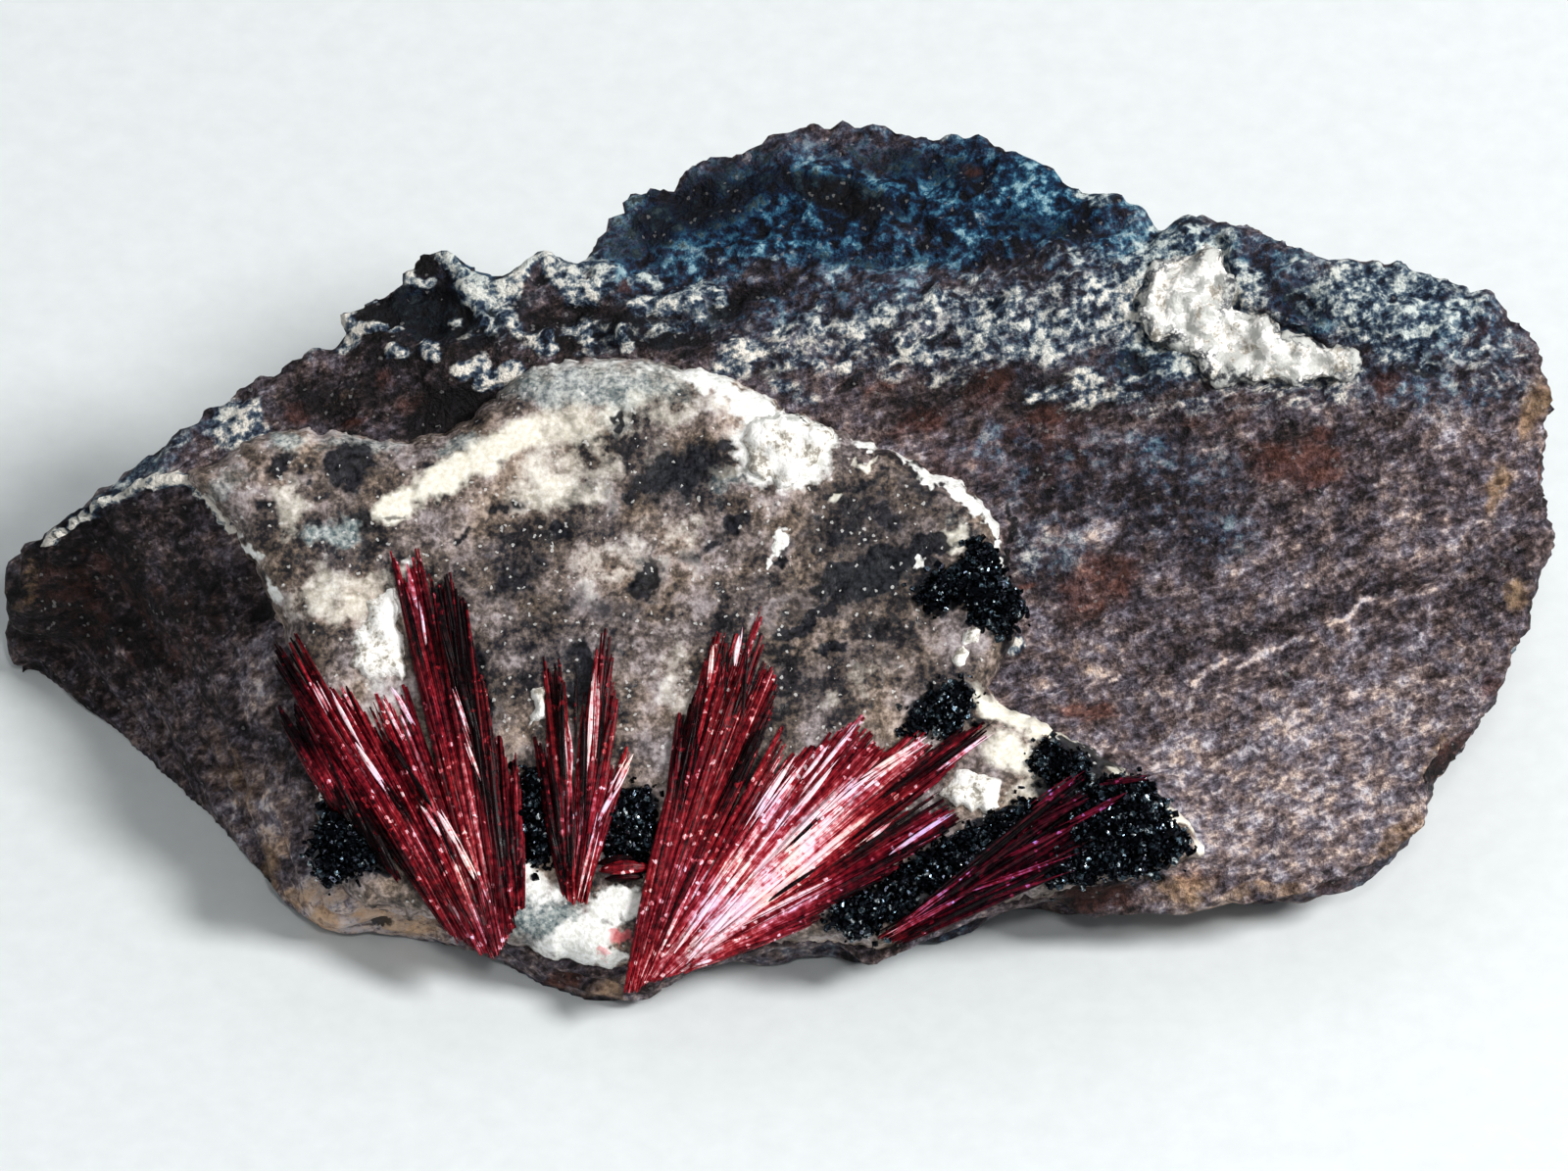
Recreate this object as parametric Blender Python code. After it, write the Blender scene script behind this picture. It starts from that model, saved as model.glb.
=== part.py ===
"""Hand specimen of kermesite: red needle fans and black stibnite in a quartz vein on a block of schist.

Every shape is laid out on one drawing of the specimen, seen from the front and above. A place on the
drawing is (across, down) in drawing units, and a height over the table makes it a point in space. Pieces
in the vein are measured as a rise, in millimetres towards the viewer, off the flat seam under the vein.
"""

import math
import random

import bmesh
import bpy
from mathutils import Vector, noise
from mathutils.geometry import convex_hull_2d, delaunay_2d_cdt

# Driving dimensions, in millimetres
MM = 0.001
LENGTH = 110.8
VEIN_THICKNESS = 3.0
VEIN_EDGE_THICKNESS = 1.3
GAP = 0.3
POCKET_FLOOR = 1.0
POCKET_STEP = 0.015
ABOVE_ALL = 9.0
CRYSTAL_FLOOR = POCKET_FLOOR + GAP
FAN_RIDGE = 3.9
FAN_ROOT = 2.9
STIBNITE_TOP = 3.8
MILKY_TOP = 3.7

# The drawing: its units, its tilt over the table, and where its near corner stands
DRAWING_LEFT, DRAWING_RIGHT = -10, 1602
UNIT = LENGTH / (DRAWING_RIGHT - DRAWING_LEFT)
TILT = math.radians(48.0)
MIDDLE = (794.5, 1038)
MIDDLE_DEPTH = 27.2
TOWARDS_VIEWER = Vector((0, -math.cos(TILT), math.sin(TILT)))

# The seam, the flat parting of the schist that the vein grew on
SEAM_CORNER = (600, 1012)
SEAM_CORNER_HEIGHT = 3.0
SEAM_CLIMB = 0.0355
SEAM_CROSSFALL = 0.0021

# Mesh sizes, in drawing units, and how loosely a grid's places sit in their cells
HOST_CELL = 44
VEIN_CELL = 45
CRUST_CELL = 30
CUTTER_CELL = 80
LOOSE = (0.2, 0.8)
INSIDE = 1  # the kind of triangulation that keeps what the loops enclose

# The block's outline: (across, down, height, undercut of the wall below it), from the left tip clockwise
CREST = [
    (-10, 600, 10, 0), (-2, 548, 13, -2), (60, 505, 17, -4), (100, 475, 18.5, -6), (160, 440, 21, -8),
    (205, 405, 22.5, -7), (250, 370, 24, -8), (340, 334, 25.5, -5), (350, 292, 27, -4),
    (398, 264, 28.5, -1), (420, 239, 29.5, 2), (470, 242, 29.5, 3), (500, 262, 28.5, 3), (540, 247, 29, 2),
    (592, 250, 28, -1), (632, 192, 30, 1), (720, 146, 31.5, 4), (800, 112, 32.5, 7), (900, 101, 33, 8),
    (990, 116, 33, 6), (1060, 142, 33, 2), (1130, 181, 32.5, -2), (1200, 216, 31.5, -5),
    (1242, 199, 32.5, -2), (1292, 212, 32.5, -1), (1340, 246, 32, -3), (1400, 252, 32, -6),
    (1480, 267, 30.5, -7), (1560, 302, 28.5, -3), (1594, 342, 27, 1), (1602, 405, 24.5, 3),
]
FRONT_EDGE = [
    (1597, 480, 22, 4), (1590, 560, 20.5, 5), (1578, 640, 17.5, 6), (1558, 705, 15, 6), (1512, 756, 12.5, 6),
    (1482, 792, 11.5, 6), (1470, 850, 9, 6), (1400, 903, 7, 6), (1330, 929, 6.5, 6), (1250, 926, 6.5, 6),
    (1180, 928, 6, 6), (1110, 942, 5.5, 5), (1080, 927, 5.8, 5), (1020, 946, 5, 5), (960, 970, 4.5, 5),
    (890, 994, 4, 4), (850, 977, 4.2, 4), (770, 986, 4, 4), (690, 994, 3.5, 3), (656, 1026, 2.4, 2),
]
FOOT = [
    (600, 1038, 0, 0), (540, 1018, 0, 0), (490, 988, 0, 0), (400, 967, 0, 0), (320, 960, 0, 0),
    (270, 930, 0, 0), (200, 850, 0, 0), (100, 760, 0, 0), (30, 706, 0, 0), (-2, 684, 0, 0),
    (-8, 645, 5, 0.5),
]
OUTLINE = CREST + FRONT_EDGE + FOOT
# Places inside the outline: the brow of the left wall, the ridge over the main face, and the hollow behind it
BROW = [
    (30, 543, 15), (85, 512, 18), (150, 490, None), (202, 525, None), (236, 580, None), (262, 640, None),
    (285, 720, None), (300, 800, None), (309, 880, None), (332, 940, None), (400, 950, None),
    (490, 974, None), (545, 998, None), (600, 1012, None), (645, 1002, None),
]
RIDGE = [
    (380, 345, 26.5), (470, 335, 27.5), (560, 338, 27.2), (700, 344, 27.3), (800, 350, 27.4),
    (900, 335, 28.4), (1000, 300, 30), (1100, 285, 30.7), (1200, 270, 31.3), (1310, 285, 31),
    (1420, 300, 30.3), (1500, 335, 28.6), (1560, 385, 26),
]
SADDLE = [(440, 290, 28), (520, 292, 28.4), (620, 282, 28.6), (720, 270, 28.6), (820, 260, 29), (960, 225, 31)]
LEFT_WALL = [(70, 620, 8.5), (130, 640, 10.5), (190, 700, 9.5), (240, 800, 6.5)]
SCHIST_FACE = [(1100, 520, None), (1200, 640, None), (1300, 480, None), (1330, 760, None), (1450, 600, None)]
SCHIST_FACE_DROP = 0.8

# The vein's outline, clockwise from its left corner
VEIN = [
    (158, 480), (205, 470), (245, 436), (300, 432), (380, 446), (440, 440), (495, 405), (522, 368),
    (600, 356), (690, 362), (760, 384), (820, 421), (900, 449), (960, 478), (1004, 500), (1028, 535),
    (1031, 600), (1046, 638), (1036, 672), (1010, 712), (1060, 736), (1120, 768), (1180, 806),
    (1222, 842), (1250, 880), (1205, 893), (1150, 908), (1105, 914), (1060, 922), (1000, 940),
    (940, 964), (890, 982), (850, 966), (770, 976), (690, 983), (650, 994), (610, 1000), (548, 988),
    (492, 964), (402, 940), (338, 928), (318, 878), (310, 800), (295, 718), (271, 636), (244, 574),
    (206, 520),
]

# Inlays of the vein: the outlines of the stibnite and of the milky quartz
STIBNITE = {
    "stibnite_rim": [(942, 628), (958, 590), (992, 556), (1020, 562), (1036, 604), (1047, 632), (1020, 648)],
    "stibnite_upper_right": [(925, 738), (948, 708), (980, 692), (1002, 700), (998, 724), (960, 742)],
    "stibnite_lower_right": [
        (850, 956), (872, 926), (924, 898), (978, 860), (1022, 834), (1050, 818), (1070, 832), (1056, 846),
        (1004, 882), (952, 916), (906, 940), (880, 958),
    ],
    "stibnite_far_right": [
        (1106, 902), (1150, 866), (1186, 840), (1206, 838), (1232, 868), (1198, 884), (1150, 896),
    ],
    "stibnite_upper_patch": [(1066, 796), (1062, 768), (1098, 758), (1158, 782), (1120, 790), (1086, 806)],
    "stibnite_left": [(306, 880), (322, 828), (352, 812), (384, 850), (398, 876), (352, 904), (326, 912)],
    "stibnite_centre_left": [(518, 800), (536, 786), (546, 830), (552, 884), (530, 890)],
    "stibnite_centre_right": [(640, 806), (662, 796), (666, 820), (658, 868), (614, 874), (622, 850)],
}
MILKY_QUARTZ = {
    "milky_quartz_upper": [(752, 432), (790, 420), (838, 432), (846, 462), (806, 500), (774, 484), (752, 462)],
    "milky_quartz_left": [(352, 640), (372, 602), (386, 606), (395, 660), (386, 688), (366, 694), (346, 668)],
    "milky_quartz_right": [(976, 800), (1010, 782), (1034, 792), (1024, 822), (992, 836), (972, 822)],
    "milky_quartz_centre": [(528, 738), (532, 712), (544, 704), (549, 726), (544, 744), (534, 750)],
    "milky_quartz_rim": [(978, 684), (980, 658), (1000, 654), (1004, 674), (996, 688)],
}
SMALL_CRYSTAL = [(606, 890), (630, 884), (654, 888), (652, 904), (630, 908), (610, 902)]
RIDGE_QUARTZ = [
    (1168, 318), (1190, 262), (1244, 232), (1266, 240), (1274, 300), (1330, 330), (1404, 352), (1396, 382),
    (1300, 386), (1250, 384), (1232, 350), (1190, 342),
]
RIDGE_QUARTZ_DEPTH, RIDGE_QUARTZ_RISE = -0.9, 0.8

# Uneven surfaces, as (height of the lumps in mm, how many lumps to a mm): the block, the vein and the inlays
BLOCK_LUMPS = (0.8, 0.22)
VEIN_LUMPS = (0.35, 0.12)
INLAY_LUMPS = (0.45, 0.9)
# How far in from its outline, in mm, the vein and an inlay reach their full thickness
VEIN_SHOULDER = 2.6
INLAY_SHOULDER = 1.2

# The block's walls: the rows of points on them, how far ledges and hollows go as a share of the wall's height
# in mm, and the ledges' sizes in metres
WALL_LEVELS = (0.2, 0.4, 0.6, 0.8, 1.0)
LEDGE_SHARE, HOLLOW_SHARE = 0.08, 0.24
MOST_LEDGED_HEIGHT = 24
LEAF_SPACING = 0.006
LEDGE_LENGTH = 0.026
FLAT = 0.01

# Fans: two places across the root, then bundles of blades, left to right. In a bundle the blades' tips
# take turns with the notches between them, and a bundle that isn't the last ends with a notch.
FANS = {
    "kermesite_fan_left": (
        (472, 974), (506, 966),
        [
            [
                (266, 652), (288, 672), (284, 646), (318, 704), (340, 700), (356, 730), (384, 712),
                (404, 676),
            ],
            [
                (388, 560), (410, 588), (424, 548), (446, 604), (452, 588), (474, 668), (490, 690),
                (496, 780), (504, 800),
            ],
        ],
    ),
    "kermesite_fan_centre": (
        (574, 916), (590, 918),
        [
            [
                (542, 760), (556, 742), (554, 668), (572, 720), (582, 678), (594, 700), (614, 634),
                (622, 730), (626, 700), (614, 806), (641, 770),
            ],
        ],
    ),
    "kermesite_fan_right": (
        (646, 1016), (664, 1006),
        [
            [
                (686, 730), (704, 700), (730, 648), (746, 668), (776, 624), (772, 690), (796, 684),
                (738, 838),
            ],
            [
                (800, 744), (822, 796), (876, 738), (894, 772), (938, 752), (946, 776), (1004, 746),
                (946, 802), (984, 782), (930, 846), (964, 838), (896, 886), (916, 886), (838, 932),
                (836, 950), (764, 962), (770, 966),
            ],
        ],
    ),
    "kermesite_blades_right": (
        (906, 962), (926, 966),
        [
            [
                (1020, 894), (1070, 866), (1124, 800), (1110, 846), (1184, 806), (1150, 850),
                (1176, 838), (1100, 888), (1086, 902),
            ],
        ],
    ),
}
# Along a blade: how far out each row of points is, and its rise as a share of the ridge
BLADE_ROWS = [(0.0, 0.0), (0.22, 0.7), (0.5, 1.0), (0.8, 0.92), (1.0, 0.45)]
NOTCH_DEPTH = 0.8
TIP_THICKNESS = 0.9

MATERIALS = {
    "schist": ((0.16, 0.15, 0.15), 0.75, 0.0),
    "vein_quartz": ((0.55, 0.52, 0.46), 0.45, 0.0),
    "milky_quartz": ((0.86, 0.85, 0.80), 0.5, 0.0),
    "kermesite": ((0.30, 0.015, 0.03), 0.25, 0.2),
    "stibnite": ((0.05, 0.055, 0.065), 0.25, 0.9),
}


def seam_height(across, down):
    """Height over the table of the vein's seam."""
    climb = SEAM_CLIMB * (SEAM_CORNER[1] - down)
    return SEAM_CORNER_HEIGHT + climb + SEAM_CROSSFALL * (across - SEAM_CORNER[0])


def spot(across, down, height, rise=0.0):
    """The point in space, in metres, drawn at this place at this height, moved by the rise to the viewer."""
    up_the_drawing = (MIDDLE[1] - down) * UNIT
    depth = (up_the_drawing - height * math.cos(TILT)) / math.sin(TILT)
    point = Vector(((across - MIDDLE[0]) * UNIT, depth - MIDDLE_DEPTH, height))
    return (point + TOWARDS_VIEWER * rise) * MM


def is_inside(place, outline):
    """Whether a place of the drawing is inside an outline."""
    inside = False
    for (ax, ay), (bx, by) in zip(outline, outline[1:] + outline[:1]):
        if (ay > place[1]) != (by > place[1]):
            inside ^= place[0] < (bx - ax) * (place[1] - ay) / (by - ay) + ax
    return inside


def edge_distance(place, outline):
    """Distance, in millimetres, from a place to the nearest side of an outline."""
    here = Vector(place)
    nearest = math.inf
    for a, b in zip(outline, outline[1:] + outline[:1]):
        a, side = Vector(a), Vector(b) - Vector(a)
        along = min(1.0, max(0.0, (here - a).dot(side) / side.length_squared))
        nearest = min(nearest, (a + side * along - here).length)
    return nearest * UNIT


def grown(outline, by):
    """The outline moved out by this many millimetres."""
    corners = [Vector(p) for p in outline]
    area = sum(a.x * b.y - b.x * a.y for a, b in zip(corners, corners[1:] + corners[:1]))
    side_out = 1 if area > 0 else -1
    moved = []
    for before, here, after in zip(corners[-1:] + corners[:-1], corners, corners[1:] + corners[:1]):
        first, second = (here - before).normalized(), (after - here).normalized()
        out = Vector((first.y + second.y, -first.x - second.x)) * side_out
        if out.length < 0.5:
            out = (first - second).normalized()
        moved.append(tuple(here + out.normalized() * by / UNIT))
    return moved


def with_steps(outline, step):
    """The outline, closed, with more points where its sides are longer than the step."""
    places = []
    for a, b in zip(outline, outline[1:] + outline[:1]):
        a, b = Vector(a), Vector(b)
        pieces = max(1, round((b.xy - a.xy).length / step))
        places += [tuple(a.lerp(b, i / pieces)) for i in range(pieces)]
    return places


def grid_inside(outline, cell, seed):
    """Places on a loose grid inside an outline, kept off its sides."""
    draw = random.Random(seed)
    wide = range(int(min(p[0] for p in outline)), int(max(p[0] for p in outline)), cell)
    high = range(int(min(p[1] for p in outline)), int(max(p[1] for p in outline)), cell)
    places = []
    for x in wide:
        for y in high:
            place = (x + draw.uniform(*LOOSE) * cell, y + draw.uniform(*LOOSE) * cell)
            if is_inside(place, outline) and edge_distance(place, outline) > 0.4 * cell * UNIT:
                places.append(place)
    return places


def triangulate(places, loops):
    """Places and triangles of a mesh over the drawing, inside the loops, with their sides as edges."""
    edges = [(a, b) for loop in loops for a, b in zip(loop, loop[1:])]
    coords, _, faces, *_ = delaunay_2d_cdt([Vector(p[:2]) for p in places], edges, [], INSIDE, 1e-4)
    return coords, faces


class Relief:
    """Heights over the drawing, flat between the places that it is given."""

    def __init__(self, places, loops):
        heights = {(round(x, 3), round(y, 3)): z for x, y, z in places}
        coords, self.faces = triangulate(places, loops)
        self.points = [(p.x, p.y, heights[round(p.x, 3), round(p.y, 3)]) for p in coords]

    def height(self, x, y):
        """Height at a place, or at the nearest triangle where the place is just outside."""
        best, best_share = 0.0, -math.inf
        for i, j, k in self.faces:
            (ax, ay, az), (bx, by, bz), (cx, cy, cz) = self.points[i], self.points[j], self.points[k]
            whole = (by - cy) * (ax - cx) + (cx - bx) * (ay - cy)
            if abs(whole) < 1e-6:
                continue
            u = ((by - cy) * (x - cx) + (cx - bx) * (y - cy)) / whole
            v = ((cy - ay) * (x - cx) + (ax - cx) * (y - cy)) / whole
            share = min(u, v, 1 - u - v)
            if share > best_share:
                best, best_share = u * az + v * bz + (1 - u - v) * cz, share
            if share >= 0:
                break
        return best


def make_material(name):
    """A Principled material with the piece's colour, roughness and metallic value."""
    colour, roughness, metallic = MATERIALS[name]
    material = bpy.data.materials.new(name)
    material.use_nodes = True
    shader = material.node_tree.nodes["Principled BSDF"]
    shader.inputs["Base Color"].default_value = (*colour, 1)
    shader.inputs["Roughness"].default_value = roughness
    shader.inputs["Metallic"].default_value = metallic
    material.diffuse_color = (*colour, 1)
    return material


def add_object(name, mesh, material):
    """An object of the specimen from a closed bmesh, its faces turned out."""
    bmesh.ops.recalc_face_normals(mesh, faces=mesh.faces)
    data = bpy.data.meshes.new(name)
    mesh.to_mesh(data)
    mesh.free()
    obj = bpy.data.objects.new(name, data)
    bpy.context.scene.collection.objects.link(obj)
    if material:
        data.materials.append(bpy.data.materials.get(material) or make_material(material))
    return obj


def slab_mesh(outline, cell, seed, floor, roof):
    """A closed bmesh between two surfaces, each a function from a place to a point in space."""
    rim = with_steps(outline, cell)
    places = rim + grid_inside(outline, cell, seed)
    loop = list(range(len(rim))) + [0]
    coords, faces = triangulate(places, [loop])
    mesh = bmesh.new()
    low = [mesh.verts.new(floor(p.x, p.y)) for p in coords]
    high = [mesh.verts.new(roof(p.x, p.y)) for p in coords]
    for face in faces:
        mesh.faces.new([high[i] for i in face])
        mesh.faces.new([low[i] for i in reversed(face)])
    for a, b in zip(loop, loop[1:]):
        mesh.faces.new([low[a], low[b], high[b], high[a]])
    loose = [v for v in mesh.verts if not v.link_faces]
    bmesh.ops.delete(mesh, geom=loose, context="VERTS")
    return mesh


def over_seam(rise):
    """A surface at a steady rise over the seam."""
    return lambda across, down: spot(across, down, seam_height(across, down), rise)


def lump(across, down, seed, lumps):
    """How far a lumpy surface stands out, in millimetres, at a place of the drawing."""
    height, per_mm = lumps
    return height * noise.noise(Vector((across, down, seed)) * UNIT * per_mm)


def crust_roof(outline, top, seed):
    """A lumpy roof that falls off towards the outline."""

    def roof(across, down):
        near_edge = min(1.0, edge_distance((across, down), outline) / INLAY_SHOULDER)
        rise = CRYSTAL_FLOOR + (top - CRYSTAL_FLOOR) * (0.5 + 0.5 * near_edge)
        return spot(across, down, seam_height(across, down), rise + lump(across, down, seed, INLAY_LUMPS))

    return roof


def cut_pocket(body, outline, floor, roof):
    """Cuts a pocket, a little wider than the outline, from a body."""
    wide = grown(outline, GAP)
    cutter = add_object("pocket_cutter", slab_mesh(wide, CUTTER_CELL, 1, floor, roof), None)
    cutter.hide_render = True
    cutter.display_type = "WIRE"
    pocket = body.modifiers.new("pocket", "BOOLEAN")
    pocket.operation = "DIFFERENCE"
    pocket.solver = "MANIFOLD"
    pocket.object = cutter


def with_heights(line, drop=0.0):
    """The places of a line, on the seam or a drop below it where no height is given."""
    return [(x, y, seam_height(x, y) - drop if z is None else z) for x, y, z in line]


def make_relief():
    """The coarse relief of the block's visible side, with its brow and its ridge as creases."""
    places = [p[:3] for p in OUTLINE]
    loops = [list(range(len(places))) + [0]]
    for crease in (BROW, RIDGE):
        loops.append(list(range(len(places), len(places) + len(crease))))
        places += with_heights(crease)
    places += SADDLE + LEFT_WALL + with_heights(SCHIST_FACE, SCHIST_FACE_DROP)
    return Relief(places, loops)


def make_host_rock(relief):
    """The block of schist: its visible side over the drawing, its walls below, and its flat base."""
    outline = with_steps(OUTLINE, HOST_CELL)
    flat_outline = [p[:2] for p in outline]
    seat = with_steps(grown(VEIN, GAP), HOST_CELL)
    rim_loop = list(range(len(outline))) + [0]
    seat_loop = list(range(len(outline), len(outline) + len(seat))) + [len(outline)]
    places = flat_outline + seat
    places += [p[:2] for p in BROW + RIDGE if not is_inside(p, seat)]
    for place in grid_inside(flat_outline, HOST_CELL, 7):
        if edge_distance(place, seat) > 0.3 * HOST_CELL * UNIT:
            places.append(place)
    coords, faces = triangulate(places, [rim_loop, seat_loop])
    mesh = bmesh.new()
    verts = []
    for i, (across, down) in enumerate(coords):
        if i in seat_loop or is_inside((across, down), seat):
            point = spot(across, down, seam_height(across, down))
        elif i < len(outline):
            point = spot(across, down, outline[i][2])
        else:
            rough = min(lump(across, down, 3, BLOCK_LUMPS), 0.25 * edge_distance((across, down), seat))
            point = spot(across, down, relief.height(across, down), rough)
        verts.append(mesh.verts.new(point))
    for face in faces:
        mesh.faces.new([verts[i] for i in face])
    add_walls_and_base(mesh, verts[: len(outline)], outline)
    return add_object("host_rock", mesh, "schist")


def seam_normal():
    """The direction square to the seam, and to every leaf of the schist."""
    corner, right, up = (spot(x, y, seam_height(x, y)) for x, y in ((0, 1000), (1000, 1000), (0, 0)))
    return (right - corner).cross(up - corner).normalized()


def add_walls_and_base(mesh, rim, outline):
    """Walls from the rim down to the table, ledged along the schist's leaves, and the flat base."""
    leaves = seam_normal()
    rings = [rim]
    for level in WALL_LEVELS:
        ring = []
        for i, (vert, (_, _, height, undercut)) in enumerate(zip(rim, outline)):
            if height < FLAT:
                ring.append(vert)
                continue
            along = rim[(i + 3) % len(rim)].co - rim[i - 3].co
            inward = Vector((along.y, -along.x, 0)).normalized()
            point = vert.co + inward * undercut * MM * level
            point.z = vert.co.z * (1 - level)
            if level < 1:
                leaf = point.dot(leaves) / LEAF_SPACING
                ledge = noise.noise(Vector((point.x / LEDGE_LENGTH, point.y / LEDGE_LENGTH, leaf)))
                depth = HOLLOW_SHARE if ledge < 0 else LEDGE_SHARE
                point -= inward * ledge * depth * min(height, MOST_LEDGED_HEIGHT) * MM
            ring.append(mesh.verts.new(point))
        rings.append(ring)
    for upper, lower in zip(rings, rings[1:]):
        for i in range(len(rim)):
            after = (i + 1) % len(rim)
            corners = list(dict.fromkeys([upper[i], upper[after], lower[after], lower[i]]))
            if len(corners) > 2:
                mesh.faces.new(corners)
    mesh.faces.new(rings[-1])
    bmesh.ops.triangulate(mesh, faces=[f for f in mesh.faces if len(f.verts) > 3])


def make_vein(relief):
    """The plate of vein quartz on its seam, thin at its edge, with a gentle swell."""

    def roof(across, down):
        near_edge = min(1.0, edge_distance((across, down), VEIN) / VEIN_SHOULDER)
        thick = VEIN_EDGE_THICKNESS + (VEIN_THICKNESS - VEIN_EDGE_THICKNESS) * near_edge ** 0.6
        swell = lump(across, down, 5, VEIN_LUMPS) * near_edge
        return spot(across, down, seam_height(across, down), thick + swell)

    mesh = slab_mesh(VEIN, VEIN_CELL, 11, over_seam(GAP), roof)
    return add_object("quartz_vein", mesh, "vein_quartz")


def bundle_outlines(root, bundles):
    """Convex outlines on the drawing, each holding a bundle of blades from the root to its tips."""
    outlines = []
    notch_before = []
    for bundle in bundles:
        places = list(root) + notch_before + bundle
        outlines.append([places[i] for i in convex_hull_2d(places)])
        notch_before = [bundle[-1]]
    return outlines


def make_fan(name, root_left, root_right, blades):
    """A fan of blades grown together: ridges run from the root to the tips, and notches part them."""
    root = [Vector(root_left), Vector(root_right)]
    mesh = bmesh.new()
    tops, floors = [], []
    last = len(blades) - 1
    for number, tip in enumerate(blades):
        is_notch = number % 2
        start = root[0].lerp(root[1], number / last)
        ridge = FAN_RIDGE - NOTCH_DEPTH * is_notch
        top_row, floor_row = [], []
        for along, share in BLADE_ROWS:
            across, down = start.lerp(Vector(tip), along)
            height = seam_height(across, down)
            rise = FAN_ROOT + (ridge - FAN_ROOT) * share if along < 1 else CRYSTAL_FLOOR + TIP_THICKNESS
            top_row.append(mesh.verts.new(spot(across, down, height, rise)))
            floor_row.append(mesh.verts.new(spot(across, down, height, CRYSTAL_FLOOR)))
        tops.append(top_row)
        floors.append(floor_row)
    rows = len(BLADE_ROWS)
    for left in range(last):
        for row in range(rows - 1):
            for grid, turn in ((tops, 1), (floors, -1)):
                quad = [grid[left][row], grid[left + 1][row], grid[left + 1][row + 1], grid[left][row + 1]]
                mesh.faces.new(quad[::turn])
        for row in (0, rows - 1):
            mesh.faces.new([tops[left][row], tops[left + 1][row], floors[left + 1][row], floors[left][row]])
    for side in (0, last):
        for row in range(rows - 1):
            mesh.faces.new([tops[side][row], tops[side][row + 1], floors[side][row + 1], floors[side][row]])
    bmesh.ops.triangulate(mesh, faces=mesh.faces)
    return add_object(name, mesh, "kermesite")


def make_specimen():
    """The whole specimen."""
    relief = make_relief()
    host_rock = make_host_rock(relief)
    quartz_vein = make_vein(relief)
    pockets = []
    for name, (root_left, root_right, bundles) in FANS.items():
        make_fan(name, root_left, root_right, sum(bundles, []))
        pockets += bundle_outlines((root_left, root_right), bundles)

    inlays = [(name, outline, "stibnite", STIBNITE_TOP) for name, outline in STIBNITE.items()]
    inlays += [(name, outline, "milky_quartz", MILKY_TOP) for name, outline in MILKY_QUARTZ.items()]
    inlays.append(("kermesite_crystal_small", SMALL_CRYSTAL, "kermesite", FAN_RIDGE))
    for number, (name, outline, material, top) in enumerate(inlays):
        roof = crust_roof(outline, top, number)
        mesh = slab_mesh(outline, CRUST_CELL, number, over_seam(CRYSTAL_FLOOR), roof)
        add_object(name, mesh, material)
        pockets.append(outline)
    for number, outline in enumerate(pockets):
        floor = over_seam(POCKET_FLOOR - POCKET_STEP * number)
        cut_pocket(quartz_vein, outline, floor, over_seam(ABOVE_ALL + POCKET_STEP * number))

    def over_block(rise):
        return lambda across, down: spot(across, down, relief.height(across, down), rise)

    mesh = slab_mesh(RIDGE_QUARTZ, VEIN_CELL, 3, over_block(RIDGE_QUARTZ_DEPTH), over_block(RIDGE_QUARTZ_RISE))
    add_object("milky_quartz_ridge", mesh, "milky_quartz")
    cut_pocket(host_rock, RIDGE_QUARTZ, over_block(RIDGE_QUARTZ_DEPTH - GAP), over_block(ABOVE_ALL))


for old in list(bpy.data.objects):
    bpy.data.objects.remove(old)
make_specimen()
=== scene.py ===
"""Looks of the kermesite hand specimen, laid out as an add-on and run as a script.

Places are (across, down) on one drawing of the specimen, seen from the front and above. A rise in millimetres
towards the viewer, off the flat seam under the vein, makes them points in space.
"""

import math

import bpy
import numpy as np
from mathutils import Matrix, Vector
from mathutils.geometry import delaunay_2d_cdt


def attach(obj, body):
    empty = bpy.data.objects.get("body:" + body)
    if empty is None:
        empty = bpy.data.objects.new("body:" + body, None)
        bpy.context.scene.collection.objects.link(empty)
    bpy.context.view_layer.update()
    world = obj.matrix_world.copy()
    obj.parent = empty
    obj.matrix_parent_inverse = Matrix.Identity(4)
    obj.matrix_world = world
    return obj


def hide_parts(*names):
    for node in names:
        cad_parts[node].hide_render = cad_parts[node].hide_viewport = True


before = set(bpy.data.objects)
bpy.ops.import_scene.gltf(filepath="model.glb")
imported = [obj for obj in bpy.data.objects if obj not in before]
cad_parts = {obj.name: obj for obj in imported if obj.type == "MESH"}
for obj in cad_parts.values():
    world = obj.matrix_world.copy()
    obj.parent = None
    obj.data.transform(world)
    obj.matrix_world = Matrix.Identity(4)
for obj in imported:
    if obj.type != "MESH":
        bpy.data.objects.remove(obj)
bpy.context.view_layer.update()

bl_info = {
    "name": "Kermesite Specimen",
    "version": (1, 0, 0),
    "blender": (4, 5, 0),
    "location": "3D View > Sidebar > Specimen",
    "description": "Builds the rock, the quartz vein and the crystals of a hand specimen",
    "category": "Add Mesh",
}

MM = 0.001
PER_METRE = 1000.0

# The drawing: its unit in millimetres, its tilt over the table, and where its near corner stands
UNIT = 110.8 / 1612
TILT = math.radians(48.0)
MIDDLE = (794.5, 1038)
MIDDLE_DEPTH = 27.2
TOWARDS_VIEWER = np.array((0, -math.cos(TILT), math.sin(TILT)))

# The seam, the flat parting of the schist that the vein grew on
SEAM_CORNER = (600, 1012)
SEAM_CORNER_HEIGHT = 3.0
SEAM_CLIMB = 0.0355
SEAM_CROSSFALL = 0.0021
LINEATION_TURN = 21  # degrees by which the schist's streaks rise to the right on the drawing

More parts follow.
